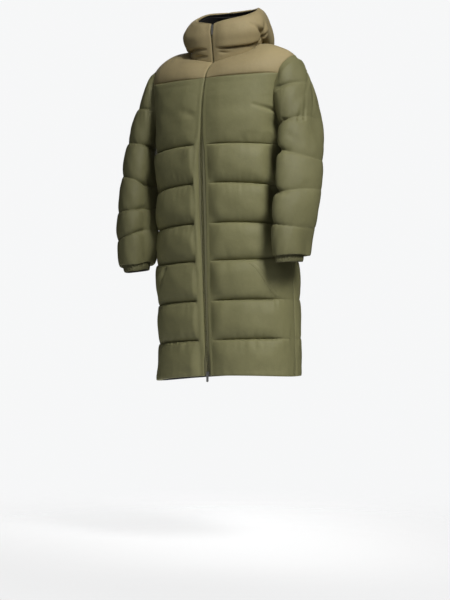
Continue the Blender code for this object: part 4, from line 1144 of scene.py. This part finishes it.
HOOD_RADIUS = 0.12         # turns an angle round the hood into a distance
HOOD_DENT = -0.0075        # the deepest its skin goes inside the plain form
HOOD_LUMPS = 1.3           # the filling's lumps are this much closer together
SEAM_PUCKERS, SIDE_PUCKERS = 0.6, 0.5       # shares of the puckers' height
CREASE_ROWS, HANG_ROWS = 10, 5              # rows over which these fade at the neck seam
HOOD_PUFFS = list(enumerate(HOOD_PUFF))
LEFT_HOOD_CREASES = table(
    Crease,
    (0.034, -0.012, 0.064, -0.016, 0.0035, 0.0085),
    (0.184, 0.042, 0.136, 0.066, 0.0065, 0.0190),
    (0.186, 0.040, 0.170, 0.045, 0.0080, 0.0150),
    (0.178, 0.050, 0.200, 0.104, 0.0080, 0.0060),
)
RIGHT_HOOD_CREASES = table(
    Crease,
    (0.190, 0.040, 0.150, 0.066, 0.0080, 0.0080),
)
CENTRE_CREASES = table(
    Crease,
    (0.330, 0.050, 0.400, 0.056, 0.0110, 0.0040),
)


# a puff that rolls over a crease: (place, height, strength) along the crease, the crease's
# depth and width, and how far the cloth above it comes down
Roll = namedtuple("Roll", "path depth width drop")
LEFT_ROLLS = (
    Roll(((0.016, 0.001, 0.0), (0.032, 0.002, 0.5), (0.058, 0.003, 0.8), (0.101, 0.008, 1.0),
          (0.138, 0.015, 1.0), (0.170, 0.030, 1.0), (0.184, 0.041, 0.8), (0.205, 0.054, 0.0)),
         0.0180, 0.0065, 0.0110),
)
RIGHT_ROLLS = (
    Roll(((-0.01, -0.002, 0.5), (0.009, -0.001, 0.7), (0.058, 0.005, 0.9), (0.138, 0.008, 1.0),
          (0.170, 0.018, 1.0), (0.200, 0.030, 0.0)), 0.0110, 0.0060, 0.0050),
    Roll(((0.004, -0.024, 0.0), (0.014, -0.022, 0.7), (0.040, -0.019, 1.0), (0.069, -0.016, 0.7),
          (0.090, -0.010, 0.0)), 0.0095, 0.0035, 0.0025),
    Roll(((-0.01, -0.046, 0.5), (0.011, -0.044, 1.0), (0.052, -0.036, 1.0), (0.100, -0.017, 1.0),
          (0.140, 0.004, 0.6), (0.200, 0.014, 0.0)), 0.0060, 0.0060, 0.0085),
)


def rolled(roll, place, z):
    """Depth of the crease and drop of the cloth above it."""
    if not roll.path[0][0] < place < roll.path[-1][0]:
        return 0.0, 0.0
    height, strength = smooth_row(roll.path, place)
    above = (z - height) / roll.width
    strength = max(strength, 0.0)
    groove = roll.depth * math.exp(-above * above) * strength
    return groove, roll.drop * math.exp(-(above - 1.3) ** 2) * strength


def hood_wall(seed, lipped, angles, fold_list, roll_list=()):

    def wall(piece, i, j):
        across, down = piece.across[i][j], piece.down[i][j]
        if lipped and j <= LIP_STEPS:
            return HALF_WALL + lip_swell(piece, i, j, seed), HALF_WALL
        swell = smooth_row(HOOD_PUFFS, i / STATION_STEPS)[0]
        first = piece.across[i][LIP_STEPS] if lipped else 0.0
        width = piece.across[i][-1] - first
        taper = zip_taper((across - first) / width, lipped)
        swell *= min(1.0, taper * 1.4)
        fold = puckers(across, down, seed) * SEAM_PUCKERS
        fold += puckers(across, piece.down[-1][j] - down, seed + 6.6) * SEAM_PUCKERS
        edge = min(across - first, piece.across[i][-1] - across)
        fold += puckers(down, edge, seed + 4.1) * SIDE_PUCKERS
        out = (swell * lumps(across * HOOD_LUMPS, down * HOOD_LUMPS, seed)
               + HOOD_PUCKER * fold * taper)
        place, z = math.radians(angles[j]) * HOOD_RADIUS, piece.grid[i][j].z
        depth = creases(place, z, fold_list)
        hang = 0.0
        for roll in roll_list:
            groove, drop = rolled(roll, place, z)
            depth += groove
            hang += drop
        out -= depth * taper * min(1.0, i / CREASE_ROWS)
        out = max(out, HOOD_DENT)
        if lipped:
            out = beside_zip(piece, i, j, out)
        return (HALF_WALL + out, HALF_WALL + max(swell * HOOD_INNER_SHARE, -out),
                hang * min(1.0, i / HANG_ROWS))

    return wall


# ---------------------------------------------------------------- materials
class Nodes:
    """Lays out a node tree."""

    def __init__(self, tree):
        self.nodes, self.links = tree.nodes, tree.links

    def feed(self, socket, value):
        """Give a socket its own value, or link it to another node's output."""
        if isinstance(value, bpy.types.NodeSocket):
            self.links.new(value, socket)
        else:
            socket.default_value = value

    def node(self, kind, inputs=(), **settings):
        """A new node; inputs gives its sockets' values by name or number."""
        made = self.nodes.new(kind)
        for key, value in settings.items():
            setattr(made, key, value)
        for key, value in dict(inputs).items():
            self.feed(made.inputs[key], value)
        return made

    def map_range(self, value, from_low, from_high, to_low, to_high, curve="LINEAR"):
        return self.node("ShaderNodeMapRange", {
            "Value": value, "From Min": from_low, "From Max": from_high,
            "To Min": to_low, "To Max": to_high}, interpolation_type=curve).outputs[0]


class Shader(Nodes):
    """A material round one Principled BSDF."""

    def __init__(self, name):
        self.material = bpy.data.materials.new(name)
        self.material.use_nodes = True
        super().__init__(self.material.node_tree)
        self.bsdf = self.nodes["Principled BSDF"]
        self.coords = self.node("ShaderNodeTexCoord").outputs

    def surface(self, **values):
        """Feed the surface's sockets, whose names have spaces for underlines."""
        for key, value in values.items():
            self.feed(self.bsdf.inputs[key.replace("_", " ")], value)

    def math(self, operation, *values):
        return self.node("ShaderNodeMath", enumerate(values), operation=operation).outputs[0]

    def noise(self, vector, scale, detail=3.0, rough=0.55):
        return self.node("ShaderNodeTexNoise", {
            "Scale": scale, "Detail": detail, "Roughness": rough,
            "Vector": vector}).outputs["Fac"]

    def ramp(self, factor, *stops):
        made = self.node("ShaderNodeValToRGB", {0: factor})
        ends = made.color_ramp.elements
        for (position, colour), end in zip((stops[0], stops[-1]), ends):
            end.position, end.color = position, (*colour, 1)
        for position, colour in stops[1:-1]:
            ends.new(position).color = (*colour, 1)
        return made.outputs["Color"]

    def bump(self, height, distance, strength, normal=None):
        inputs = {"Height": height, "Distance": distance, "Strength": strength}
        if normal is not None:
            inputs["Normal"] = normal
        return self.node("ShaderNodeBump", inputs).outputs["Normal"]


def scaled(colour, k):
    return tuple(min(1.0, c * k) for c in colour)


WAVE_LENGTH = 0.314        # of the wave texture at scale 1
SHADE_RANGE = (0.86, 1.13)  # darkest and lightest cloth, as shares of its colour


def woven(name, colour, roughness, sheen, thread=0.0007, crinkle=0.6):
    """Dull, tightly woven shell cloth with a fine crinkle."""
    s = Shader(name)
    place = s.coords["Object"]
    broad = s.noise(place, 7.0, 2.0)
    fine = s.noise(place, 60.0, 4.0)
    speck = s.noise(place, 1400.0, 1.0)
    shade = s.math("ADD", s.math("MULTIPLY", broad, 0.5), s.math("MULTIPLY", fine, 0.3))
    shade = s.math("ADD", shade, s.math("MULTIPLY", speck, 0.2))
    dark, light = (scaled(colour, k) for k in SHADE_RANGE)
    colours = s.ramp(shade, (0.30, dark), (0.5, colour), (0.70, light))
    rough = s.math("MULTIPLY_ADD", fine, 0.14, roughness - 0.07)
    threads = [s.node("ShaderNodeTexWave",
                      {"Scale": WAVE_LENGTH / thread, "Distortion": 0.6, "Detail": 1.0,
                       "Vector": s.coords["UV"]},
                      wave_type="BANDS", bands_direction=way).outputs["Fac"] for way in "XY"]
    weave = s.bump(s.math("MULTIPLY", *threads), 0.00012, 0.35)
    wrinkle = s.noise(place, 75.0, 5.0, 0.62)
    s.surface(Base_Color=colours, Roughness=rough, Sheen_Weight=sheen, Sheen_Roughness=0.45,
              Specular_IOR_Level=0.35, Normal=s.bump(wrinkle, 0.0022 * crinkle, 0.55, weave))
    return s.material


def metal(name, colour):
    """Worn metal, drawn lengthwise."""
    s = Shader(name)
    place = s.coords["Object"]
    drawn = s.node("ShaderNodeMapping", {"Scale": (1.0, 1.0, 0.08), "Vector": place}).outputs[0]
    grain = s.noise(drawn, 2600.0, 2.0)
    worn = s.noise(place, 380.0, 3.0)
    colours = s.ramp(worn, (0.3, scaled(colour, 0.8)), (0.7, scaled(colour, 1.15)))
    rough = s.math("MULTIPLY_ADD", grain, 0.18, 0.27)
    s.surface(Base_Color=colours, Roughness=rough, Metallic=1.0,
              Normal=s.bump(grain, 0.00005, 0.4))
    return s.material


OLIVE = (0.186, 0.177, 0.081)
KHAKI = (0.300, 0.240, 0.122)
BLACK = (0.012, 0.011, 0.010)
TAPE = (0.170, 0.160, 0.085)

OLIVE_CLOTH = woven("olive_cloth", OLIVE, 0.66, 0.0)
KHAKI_CLOTH = woven("khaki_cloth", KHAKI, 0.70, 0.0)
LINING_CLOTH = woven("lining_cloth", BLACK, 0.55, 0.05, thread=0.0005, crinkle=0.5)
TAPE_CLOTH = woven("tape_cloth", TAPE, 0.75, 0.05, thread=0.0011, crinkle=0.1)
THREAD_OLIVE = woven("thread_olive", scaled(OLIVE, 0.80), 0.7, 0.1, thread=0.0004, crinkle=0.0)
THREAD_KHAKI = woven("thread_khaki", scaled(KHAKI, 0.80), 0.7, 0.1, thread=0.0004, crinkle=0.0)
# painted shade: the sleeves take a copy of the olive cloth painted darker, standing in for the
# shade they lie in
OLIVE_SLEEVE_PAINTED_SHADE = woven("olive_sleeve", scaled(OLIVE, 0.86), 0.66, 0.0)
# painted shade: the cuffs take a copy of the olive cloth painted much darker, for the shadow under
# the sleeve's last roll and their inward curve
OLIVE_CUFF_PAINTED_SHADE = woven("olive_cuff", scaled(OLIVE, 0.62), 0.70, 0.0, crinkle=0.3)
COIL = woven("coil", scaled(OLIVE, 1.05), 0.45, 0.0, thread=0.0004, crinkle=0.0)
PULL_METAL = metal("pull_metal", (0.36, 0.355, 0.34))
CLOTHS = {"olive_shell": OLIVE_CLOTH, "khaki_shell": KHAKI_CLOTH}
# the pieces that take the painted-shade copies instead of their slot's cloth
PAINTED_SHADE_CLOTHS = {"cuff": OLIVE_CUFF_PAINTED_SHADE, "sleeve": OLIVE_SLEEVE_PAINTED_SHADE}


def add(name, mesh, materials):
    for material in materials:
        mesh.materials.append(material)
    obj = bpy.data.objects.new(name, mesh)
    bpy.context.scene.collection.objects.link(obj)
    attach(obj, "coat")
    return obj


# ---------------------------------------------------------------- build the cloth
front_grid = front_panel_grid()
back_grid = back_panel_grid()
yoke_front = yoke_front_grid(front_grid[0])
yoke_back = yoke_back_grid(back_grid[0])
loop = armhole_loop(front_grid, back_grid, yoke_front, yoke_back)
sleeve_points, turns = sleeve_grid(loop)

LIPPED = [None] * (LIP_STEPS + 1) + FRONT_PARTS
pieces = {}
for piece in (
        Piece("front_left", "olive_shell", front_grid, True),
        Piece("yoke_front_left", "khaki_shell", yoke_front, False),
        Piece("sleeve_left", "olive_shell", sleeve_points, False, True),
        Piece("cuff_left", "olive_shell", cuff_grid(sleeve_points[-1]), False, True),
        Piece("hood_side_left", "khaki_shell", hood_side_grid(), False)):
    twin = piece.mirror(piece.name.replace("left", "right"))
    pieces[piece.name], pieces[twin.name] = piece, twin
for piece in (
        Piece("back", "olive_shell", back_grid, True),
        Piece("yoke_back", "khaki_shell", yoke_back, False),
        Piece("hood_centre", "khaki_shell", hood_centre_grid(), False)):
    pieces[piece.name] = piece

normals = shared_normals(pieces.values())
SIDE_ANGLES = [angle for angle, _ in HOOD_SIDE_SEAM]
CENTRE_ANGLES = [angle for angle, _ in HOOD_CENTRE_SEAM]
CENTRE_ANGLES += [360 - angle for angle in reversed(CENTRE_ANGLES[:-1])]
WALLS = {
    "front_left": body_wall(LIPPED, 1.0, LEFT_CREASES),
    "front_right": body_wall(LIPPED, 51.0, RIGHT_CREASES),
    "back": body_wall(BACK_PARTS, 21.0, BACK_CREASES),
    "yoke_front_left": yoke_wall(LIPPED, 2.0),
    "yoke_front_right": yoke_wall(LIPPED, 52.0),
    "yoke_back": yoke_wall(BACK_PARTS, 22.0),
    "sleeve_left": sleeve_wall(turns, LEFT_LINES, 3.0, LEFT_SLEEVE_CREASES),
    "sleeve_right": sleeve_wall(turns, RIGHT_LINES, 53.0, RIGHT_SLEEVE_CREASES),
    "cuff_left": cuff_wall(4.0),
    "cuff_right": cuff_wall(54.0),
    "hood_side_left": hood_wall(5.0, True, SIDE_ANGLES, LEFT_HOOD_CREASES, LEFT_ROLLS),
    "hood_side_right": hood_wall(55.0, True, SIDE_ANGLES, RIGHT_HOOD_CREASES, RIGHT_ROLLS),
    "hood_centre": hood_wall(25.0, False, CENTRE_ANGLES, CENTRE_CREASES),
}
for name, piece in pieces.items():
    piece.make_skins(normals, WALLS[name])
    # sleeves and cuffs get their copies painted darker for shade
    shell = PAINTED_SHADE_CLOTHS.get(name.split("_")[0], CLOTHS[piece.slot])
    obj = add(name + "_cloth", cloth_mesh(piece), [shell, LINING_CLOTH])
    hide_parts(name)


# ---------------------------------------------------------------- hood lining
LINING_RIPPLE = 0.0006


def lining():
    """One sheet inside both hood sides and the crown panel."""
    left, centre = pieces["hood_side_left"], pieces["hood_centre"]
    right = pieces["hood_side_right"]
    columns = [(left, j) for j in range(LIP_STEPS, left.columns)]
    columns += [(centre, j) for j in range(1, centre.columns - 1)]
    columns += [(right, j) for j in range(right.columns - 1, LIP_STEPS - 1, -1)]
    grid = []
    for i in range(left.rows):
        puff = smooth_row(HOOD_PUFFS, i / STATION_STEPS)[0] * LINING_SHARE
        depth = HALF_WALL + puff + LINING_CLEARANCE
        row = []
        for piece, j in columns:
            point = piece.grid[i][j]
            ripple = LINING_RIPPLE * wave(point.x * 50, point.y * 50, i * 0.09)
            row.append(point - normals[seam_key(point)] * (depth + ripple + LINING_THICK / 2))
        grid.append(row)
    for edge, step in ((0, 1), (-1, -1)):
        inside = grid[edge + step * STATION_STEPS]
        grid[edge] = [p.lerp(q, LINING_EDGE_INSET) for p, q in zip(grid[edge], inside)]
        for i in (1, 2):
            grid[edge + step * i] = [p.lerp(q, i / STATION_STEPS)
                                     for p, q in zip(grid[edge], inside)]
    piece = Piece("hood_lining", "black_lining", grid, False)
    piece.thicken([[piece.raw_normal(i, j) for j in range(piece.columns)]
                   for i in range(piece.rows)], LINING_THICK)
    return piece


piece = lining()
obj = add("hood_lining_cloth", cloth_mesh(piece, 0), [LINING_CLOTH])
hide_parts("hood_lining")


# ---------------------------------------------------------------- zip
ZIP_STRIDE = 3             # the zip's line takes every third row of the front
TAPE_STEPS = 6


def zip_line():
    """Points and normals of the opening, from the hem to the collar's top."""
    front, yoke, hood = pieces["front_left"], pieces["yoke_front_left"], pieces["hood_side_left"]
    points = [row[0] for row in reversed(front.grid[::ZIP_STRIDE])]
    points += [row[0] for row in yoke.grid[1:]]
    points += [row[0] for row in hood.grid[1:]]
    line = []
    for point in points:
        normal = normals[seam_key(point)].copy()
        normal.x = 0.0
        line.append((point, normal.normalized()))
    return line


def recess(point):
    return TAPE_RECESS - smooth_row(ZIP_RISE, point.z)[0]


def tape_piece(line, side):
    grid = []
    for point, normal in line:
        middle = point - normal * recess(point)
        outer_x = zip_half_gap(point.z) + TAPE_UNDER_LIP
        grid.append([Vector((side * mix(TAPE_INNER_EDGE, outer_x, k / TAPE_STEPS),
                             middle.y, middle.z)) for k in range(TAPE_STEPS + 1)])
    piece = Piece("tape", "olive_tape", grid, side < 0)
    piece.thicken([[normal] * (TAPE_STEPS + 1) for _, normal in line], TAPE_THICK)
    return piece


line = zip_line()
for side, word in ((1, "left"), (-1, "right")):
    piece = tape_piece(line, side)
    obj = add("zip_tape_%s_cloth" % word, cloth_mesh(piece, 0), [TAPE_CLOTH])
    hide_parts("zip_tape_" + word)


TOOTH_PITCH, TOOTH_LIFT = 0.0021, 0.0004
TOOTH_WIDTH = 0.245        # half the width along the zip, as a share of the pitch
TOOTH_UNIT = 0.001
TOOTH_RINGS = (            # place across the zip in TOOTH_UNIT, and shares of width and height
    (-0.9, 0.55, 0.8), (0.1, 1.0, 1.1), (2.4, 1.0, 1.25), (3.1, 0.8, 0.7))
TOOTH_OUTLINE = ((-1, -0.4), (-0.75, 0.8), (0, 1.0), (0.75, 0.8), (1, -0.4))   # along, out


def teeth(line, low, high):
    """The closed coil: bars that lock from both sides."""
    bm = bmesh.new()
    run = [0.0]
    for (a, _), (b, _) in zip(line, line[1:]):
        run.append(run[-1] + (b - a).length)
    k = 0
    for n in range(int(run[-1] / TOOTH_PITCH)):
        at = n * TOOTH_PITCH
        while k < len(run) - 2 and run[k + 1] < at:
            k += 1
        t = (at - run[k]) / (run[k + 1] - run[k])
        (a, normal_a), (b, normal_b) = line[k], line[k + 1]
        point, normal = a.lerp(b, t), normal_a.lerp(normal_b, t).normalized()
        if not low < point.z < high:
            continue
        up = (b - a).normalized()
        up.x = 0.0
        centre = Vector((0, point.y, point.z)) - normal * (recess(point) - TOOTH_LIFT)
        for side in (1, -1):
            offset = up * TOOTH_PITCH * 0.25 * side
            rings = []
            for x, width, height in TOOTH_RINGS:
                ring = []
                for along, out in TOOTH_OUTLINE:
                    place = centre + offset + up * along * width * TOOTH_PITCH * TOOTH_WIDTH
                    place += normal * out * height * TOOTH_UNIT
                    place.x = side * x * TOOTH_UNIT
                    ring.append(bm.verts.new(posed(place)))
                rings.append(ring)
            tube(bm, rings)
    return finished_mesh(bm, "zip_teeth")


low = line[0][0].z + SLIDER_INSET + SLIDER_HALF
high = line[-1][0].z - SLIDER_INSET - SLIDER_HALF
obj = add("zip_teeth", teeth(line, low, high), [COIL])
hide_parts("zip_chain")


# ---------------------------------------------------------------- welts
# row and column of the CAD's panel at each end of the pocket, and the welt's width in columns
WELT_TOP, WELT_BOTTOM, WELT_SPREAD = (15.5, 4.82), (17.5, 6.50), 0.26
CAD_ROWS_IN_BAFFLE, CAD_LIP_COLUMNS = 3, 2
WELT_ROWS, WELT_COLUMNS = 40, 8
WELT_DEPTH = 0.0004        # the welt reaches this far below the panel's skin


def skin_at(piece, v, part):
    """Point of a front panel's outer skin at a place in baffles and across."""
    row = min(max(v * STEPS_IN_BAFFLE, 0.0), piece.rows - 1.001)
    places = [0.0] + FRONT_PARTS
    k = 0
    while k < len(places) - 2 and places[k + 1] < part:
        k += 1
    t = (part - places[k]) / (places[k + 1] - places[k])
    j, i = k + LIP_STEPS, int(row)
    upper = piece.outer[i][j].lerp(piece.outer[i][j + 1], t)
    lower = piece.outer[i + 1][j].lerp(piece.outer[i + 1][j + 1], t)
    return upper.lerp(lower, row - i)


def coarse_part(column):
    """Place across a front panel of a CAD column number."""
    column -= CAD_LIP_COLUMNS
    k = min(int(column), len(COARSE_PARTS) - 2)
    return mix(COARSE_PARTS[k], COARSE_PARTS[k + 1], column - k)


def welt_piece(panel, side, height):
    grid, outer, inner = [], [], []
    for a in range(WELT_ROWS + 1):
        t = a / WELT_ROWS
        v = mix(WELT_TOP[0], WELT_BOTTOM[0], t) / CAD_ROWS_IN_BAFFLE
        column = mix(WELT_TOP[1], WELT_BOTTOM[1], t)
        end = math.sin(math.pi * t) ** 0.25 if 0 < t < 1 else 0.0
        for skin in (grid, outer, inner):
            skin.append([])
        for b in range(WELT_COLUMNS + 1):
            part = coarse_part(column + WELT_SPREAD * b / WELT_COLUMNS)
            point = skin_at(panel, v, part)
            across = skin_at(panel, v, part + 0.02) - skin_at(panel, v, part - 0.02)
            down = skin_at(panel, v + 0.03, part) - skin_at(panel, v - 0.03, part)
            normal = down.cross(across).normalized() * side
            curve = math.sin(math.pi * b / WELT_COLUMNS) ** 0.8
            roll = height * 0.25 + height * curve * (0.2 + 0.8 * end)
            grid[-1].append(point)
            outer[-1].append(point + normal * roll)
            inner[-1].append(point - normal * WELT_DEPTH)
    piece = Piece("welt", "olive_shell", grid, side > 0)
    piece.lengths()
    piece.outer, piece.inner = outer, inner
    return piece


for side, word, height in ((1, "left", 0.0005), (-1, "right", 0.0009)):
    piece = welt_piece(pieces["front_" + word], side, height)
    obj = add("pocket_welt_%s_cloth" % word, cloth_mesh(piece, 0), [OLIVE_CLOTH])
    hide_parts("pocket_welt_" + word)


# ---------------------------------------------------------------- stitches
STITCH, STITCH_GAP, THREAD = 0.0030, 0.0011, 0.00026
# place along a stitch, and shares of the thread's radius: its thickness and its lift
STITCH_RINGS = ((0.0, 0.5, -0.5), (0.25, 1.0, 0.7), (0.75, 1.0, 0.7), (1.0, 0.5, -0.5))
ARMHOLE_ROWS, EDGE_ROWS = 4, 3     # rows that stay bare below the armhole and at an edge
STITCH_LIFT = 0.0001       # the thread's centre stands this far off the skin


def stitch_run(bm, points, normals_here):
    """Short dashes of thread along a line of points."""
    left = 0.0
    rest = sum((b - a).length for a, b in zip(points, points[1:]))
    for (a, b), normal in zip(zip(points, points[1:]), normals_here):
        length = (b - a).length
        if length < 1e-6:
            continue
        while left < min(length, rest - STITCH):
            start = a.lerp(b, left / length)
            along = (b - a).normalized()
            side = along.cross(normal).normalized()
            rings = []
            for at, thick, lift in STITCH_RINGS:
                centre = start + along * STITCH * at + normal * THREAD * lift
                rings.append([bm.verts.new(centre + (side * s + normal * n) * THREAD * thick)
                              for s, n in ((1, 0), (0, 1), (-1, 0), (0, -1))])
            tube(bm, rings)
            left += STITCH + STITCH_GAP
        left -= length
        rest -= length


def skin_line(piece, i=None, j=None):
    """Points and normals of the outer skin along a row or a column."""
    if i is not None:
        cells = [(i, k) for k in range(piece.columns)]
        if piece.wraps:
            cells.append((i, 0))
    else:
        cells = [(k, j) for k in range(piece.rows)]
    points, lifts = [], []
    for a, b in cells:
        here = piece.outer[a][b]
        down = piece.outer[min(a + 1, piece.rows - 1)][b] - piece.outer[max(a - 1, 0)][b]
        row, last = piece.outer[a], piece.columns - 1
        if piece.wraps:
            across = row[(b + 1) % piece.columns] - row[b - 1]
        else:
            across = row[min(b + 1, last)] - row[max(b - 1, 0)]
        normal = piece.outward(down, across)
        points.append(here + normal * STITCH_LIFT)
        lifts.append(normal)
    return points, lifts


def line_runs(piece, line):
    """Runs of points and normals along a quilt line, broken where it meets the armhole."""
    runs, points, lifts = [], [], []
    for j in list(range(piece.columns)) + [0]:
        at = crossing(piece, j, around(line.height, turns[j]))
        i = 1
        if at is not None:
            while i < piece.rows - 2 and piece.down[i][j] < at:
                i += 1
        if at is None or i < ARMHOLE_ROWS:
            runs.append((points, lifts))
            points, lifts = [], []
            continue
        span = piece.down[i][j] - piece.down[i - 1][j]
        t = (at - piece.down[i - 1][j]) / span
        here = piece.outer[i - 1][j].lerp(piece.outer[i][j], t)
        down = piece.outer[i + 1][j] - piece.outer[i - 2][j]
        across = piece.outer[i][(j + 1) % piece.columns] - piece.outer[i][j - 1]
        normal = piece.outward(down, across)
        points.append(here + normal * STITCH_LIFT)
        lifts.append(normal)
    runs.append((points, lifts))
    return [run for run in runs if len(run[0]) > 2]


def stitching(name, runs, material):
    bm = bmesh.new()
    for points, lifts in runs:
        stitch_run(bm, points, lifts)
    return add(name, finished_mesh(bm, name), [material])


olive_runs, khaki_runs = [], []
for name in ("front_left", "front_right", "back"):
    piece = pieces[name]
    for baffle in range(CHEST_ROW + 1, len(QUILT) - 1):
        points, lifts = skin_line(piece, i=baffle * STEPS_IN_BAFFLE)
        first = LIP_STEPS if "front" in name else 0
        olive_runs.append((points[first:], lifts[first:]))
    olive_runs.append(skin_line(piece, i=BODY_ROWS - EDGE_ROWS))
    if "front" in name:
        olive_runs.append(skin_line(piece, j=LIP_STEPS))
for name, lines in (("sleeve_left", LEFT_LINES), ("sleeve_right", RIGHT_LINES)):
    for each in lines:
        olive_runs += line_runs(pieces[name], each)
for name in ("cuff_left", "cuff_right"):
    olive_runs.append(skin_line(pieces[name], i=2))
    olive_runs.append(skin_line(pieces[name], i=CUFF_STEPS - 2))
for name in ("yoke_front_left", "yoke_front_right", "yoke_back"):
    khaki_runs.append(skin_line(pieces[name], i=1))
for name in ("hood_side_left", "hood_side_right"):
    khaki_runs.append(skin_line(pieces[name], j=LIP_STEPS))
    khaki_runs.append(skin_line(pieces[name], i=pieces[name].rows - EDGE_ROWS))
for name in ("yoke_front_left", "yoke_front_right"):
    khaki_runs.append(skin_line(pieces[name], j=LIP_STEPS))
khaki_runs.append(skin_line(pieces["hood_centre"], i=pieces["hood_centre"].rows - EDGE_ROWS))
stitching("stitches_olive", olive_runs, THREAD_OLIVE)
stitching("stitches_khaki", khaki_runs, THREAD_KHAKI)

# ---------------------------------------------------------------- metal that the CAD keeps
for name in ("slider_lower", "slider_upper", "pull_lower", "pull_upper"):
    for slot in frame["nodes"][name].material_slots:
        slot.material = PULL_METAL

# ---------------------------------------------------------------- stage, light and camera
AZIMUTH = math.radians(27.0)
DISTANCE, VIEW_HEIGHT = 6.0, 1.92
TARGET = Vector((0, 0, -0.794)) - Vector((math.cos(AZIMUTH), math.sin(AZIMUTH), 0)) * 0.0064
FLOOR_Z = -1.587
FLOOR_COLOUR, FLOOR_GLOW = (0.36, 0.36, 0.36, 1), (1.0, 1.0, 1.0, 1)
FLOOR_RADIUS, FLOOR_FADE = 2.2, (0.3, 2.0)  # it fades into the backdrop between these


def stage():
    bm = bmesh.new()
    bmesh.ops.create_circle(bm, cap_ends=True, segments=96, radius=FLOOR_RADIUS)
    mesh = bpy.data.meshes.new("floor")
    bm.to_mesh(mesh)
    bm.free()
    floor = bpy.data.objects.new("floor", mesh)
    floor.location.z = FLOOR_Z
    bpy.context.scene.collection.objects.link(floor)
    s = Shader("floor")
    reach = s.node("ShaderNodeVectorMath", {0: s.coords["Object"]}, operation="LENGTH")
    shown = s.map_range(reach.outputs["Value"], *FLOOR_FADE, 1.0, 0.0, "SMOOTHSTEP")
    s.surface(Base_Color=FLOOR_COLOUR, Emission_Color=FLOOR_GLOW, Emission_Strength=0.74,
              Roughness=0.9, Specular_IOR_Level=0.1, Alpha=shown)
    mesh.materials.append(s.material)


BACKDROP, FILL_COLOUR = (0.925, 0.930, 0.935, 1), (0.95, 0.97, 1.0, 1)
DIM_BELOW, AMBIENT = 0.003, 0.27   # the fill light's least and greatest strength
FILL_RANGE = (-0.1, 0.9)
FILL_FROM = (0.06, -0.91, 0.40)    # where the studio's fill light is brightest


def world():
    """A plain backdrop for the camera, and a fill light that comes mostly from one side."""
    made = bpy.data.worlds.new("studio")
    bpy.context.scene.world = made
    made.use_nodes = True
    made.node_tree.nodes.clear()
    w = Nodes(made.node_tree)
    out = w.node("ShaderNodeOutputWorld")
    shown = w.node("ShaderNodeBackground", {"Color": BACKDROP, "Strength": 1.0})
    lit = w.node("ShaderNodeBackground", {"Color": FILL_COLOUR})
    coords = w.node("ShaderNodeTexCoord")
    aim = w.node("ShaderNodeVectorMath", {0: coords.outputs["Generated"], 1: FILL_FROM},
                 operation="DOT_PRODUCT")
    fill = w.map_range(aim.outputs["Value"], *FILL_RANGE, DIM_BELOW, AMBIENT)
    w.feed(lit.inputs["Strength"], fill)
    path = w.node("ShaderNodeLightPath")
    blend = w.node("ShaderNodeMixShader", {
        0: path.outputs["Is Camera Ray"], 1: lit.outputs[0], 2: shown.outputs[0]})
    w.feed(out.inputs[0], blend.outputs[0])


def softbox(name, azimuth, height, distance, size, power, spread, aim):
    data = bpy.data.lights.new(name, "AREA")
    data.shape = "RECTANGLE"
    data.size, data.size_y = size
    data.energy = power
    data.spread = math.radians(spread)
    obj = bpy.data.objects.new(name, data)
    bpy.context.scene.collection.objects.link(obj)
    a = math.radians(azimuth)
    obj.location = Vector((math.sin(a) * distance, -math.cos(a) * distance, height))
    obj.rotation_euler = (obj.location - Vector(aim)).to_track_quat("Z", "Y").to_euler()


stage()
world()
softbox("key", azimuth=54, height=1.15, distance=2.1, size=(0.7, 2.0), power=6.4, spread=34,
        aim=(0.20, 0, -0.55))
softbox("back", azimuth=207, height=0.35, distance=2.4, size=(1.6, 1.6), power=24, spread=180,
        aim=(0, 0, -0.50))

camera = bpy.data.objects.new("camera", bpy.data.cameras.new("camera"))
bpy.context.scene.collection.objects.link(camera)
back = Vector((math.sin(AZIMUTH), -math.cos(AZIMUTH), 0))
camera.location = TARGET + back * DISTANCE
camera.rotation_euler = back.to_track_quat("Z", "Y").to_euler()
camera.data.sensor_fit = "VERTICAL"
camera.data.sensor_height = 36.0
camera.data.lens = camera.data.sensor_height * DISTANCE / VIEW_HEIGHT
bpy.context.scene.camera = camera
bpy.context.scene.view_settings.view_transform = "Standard"
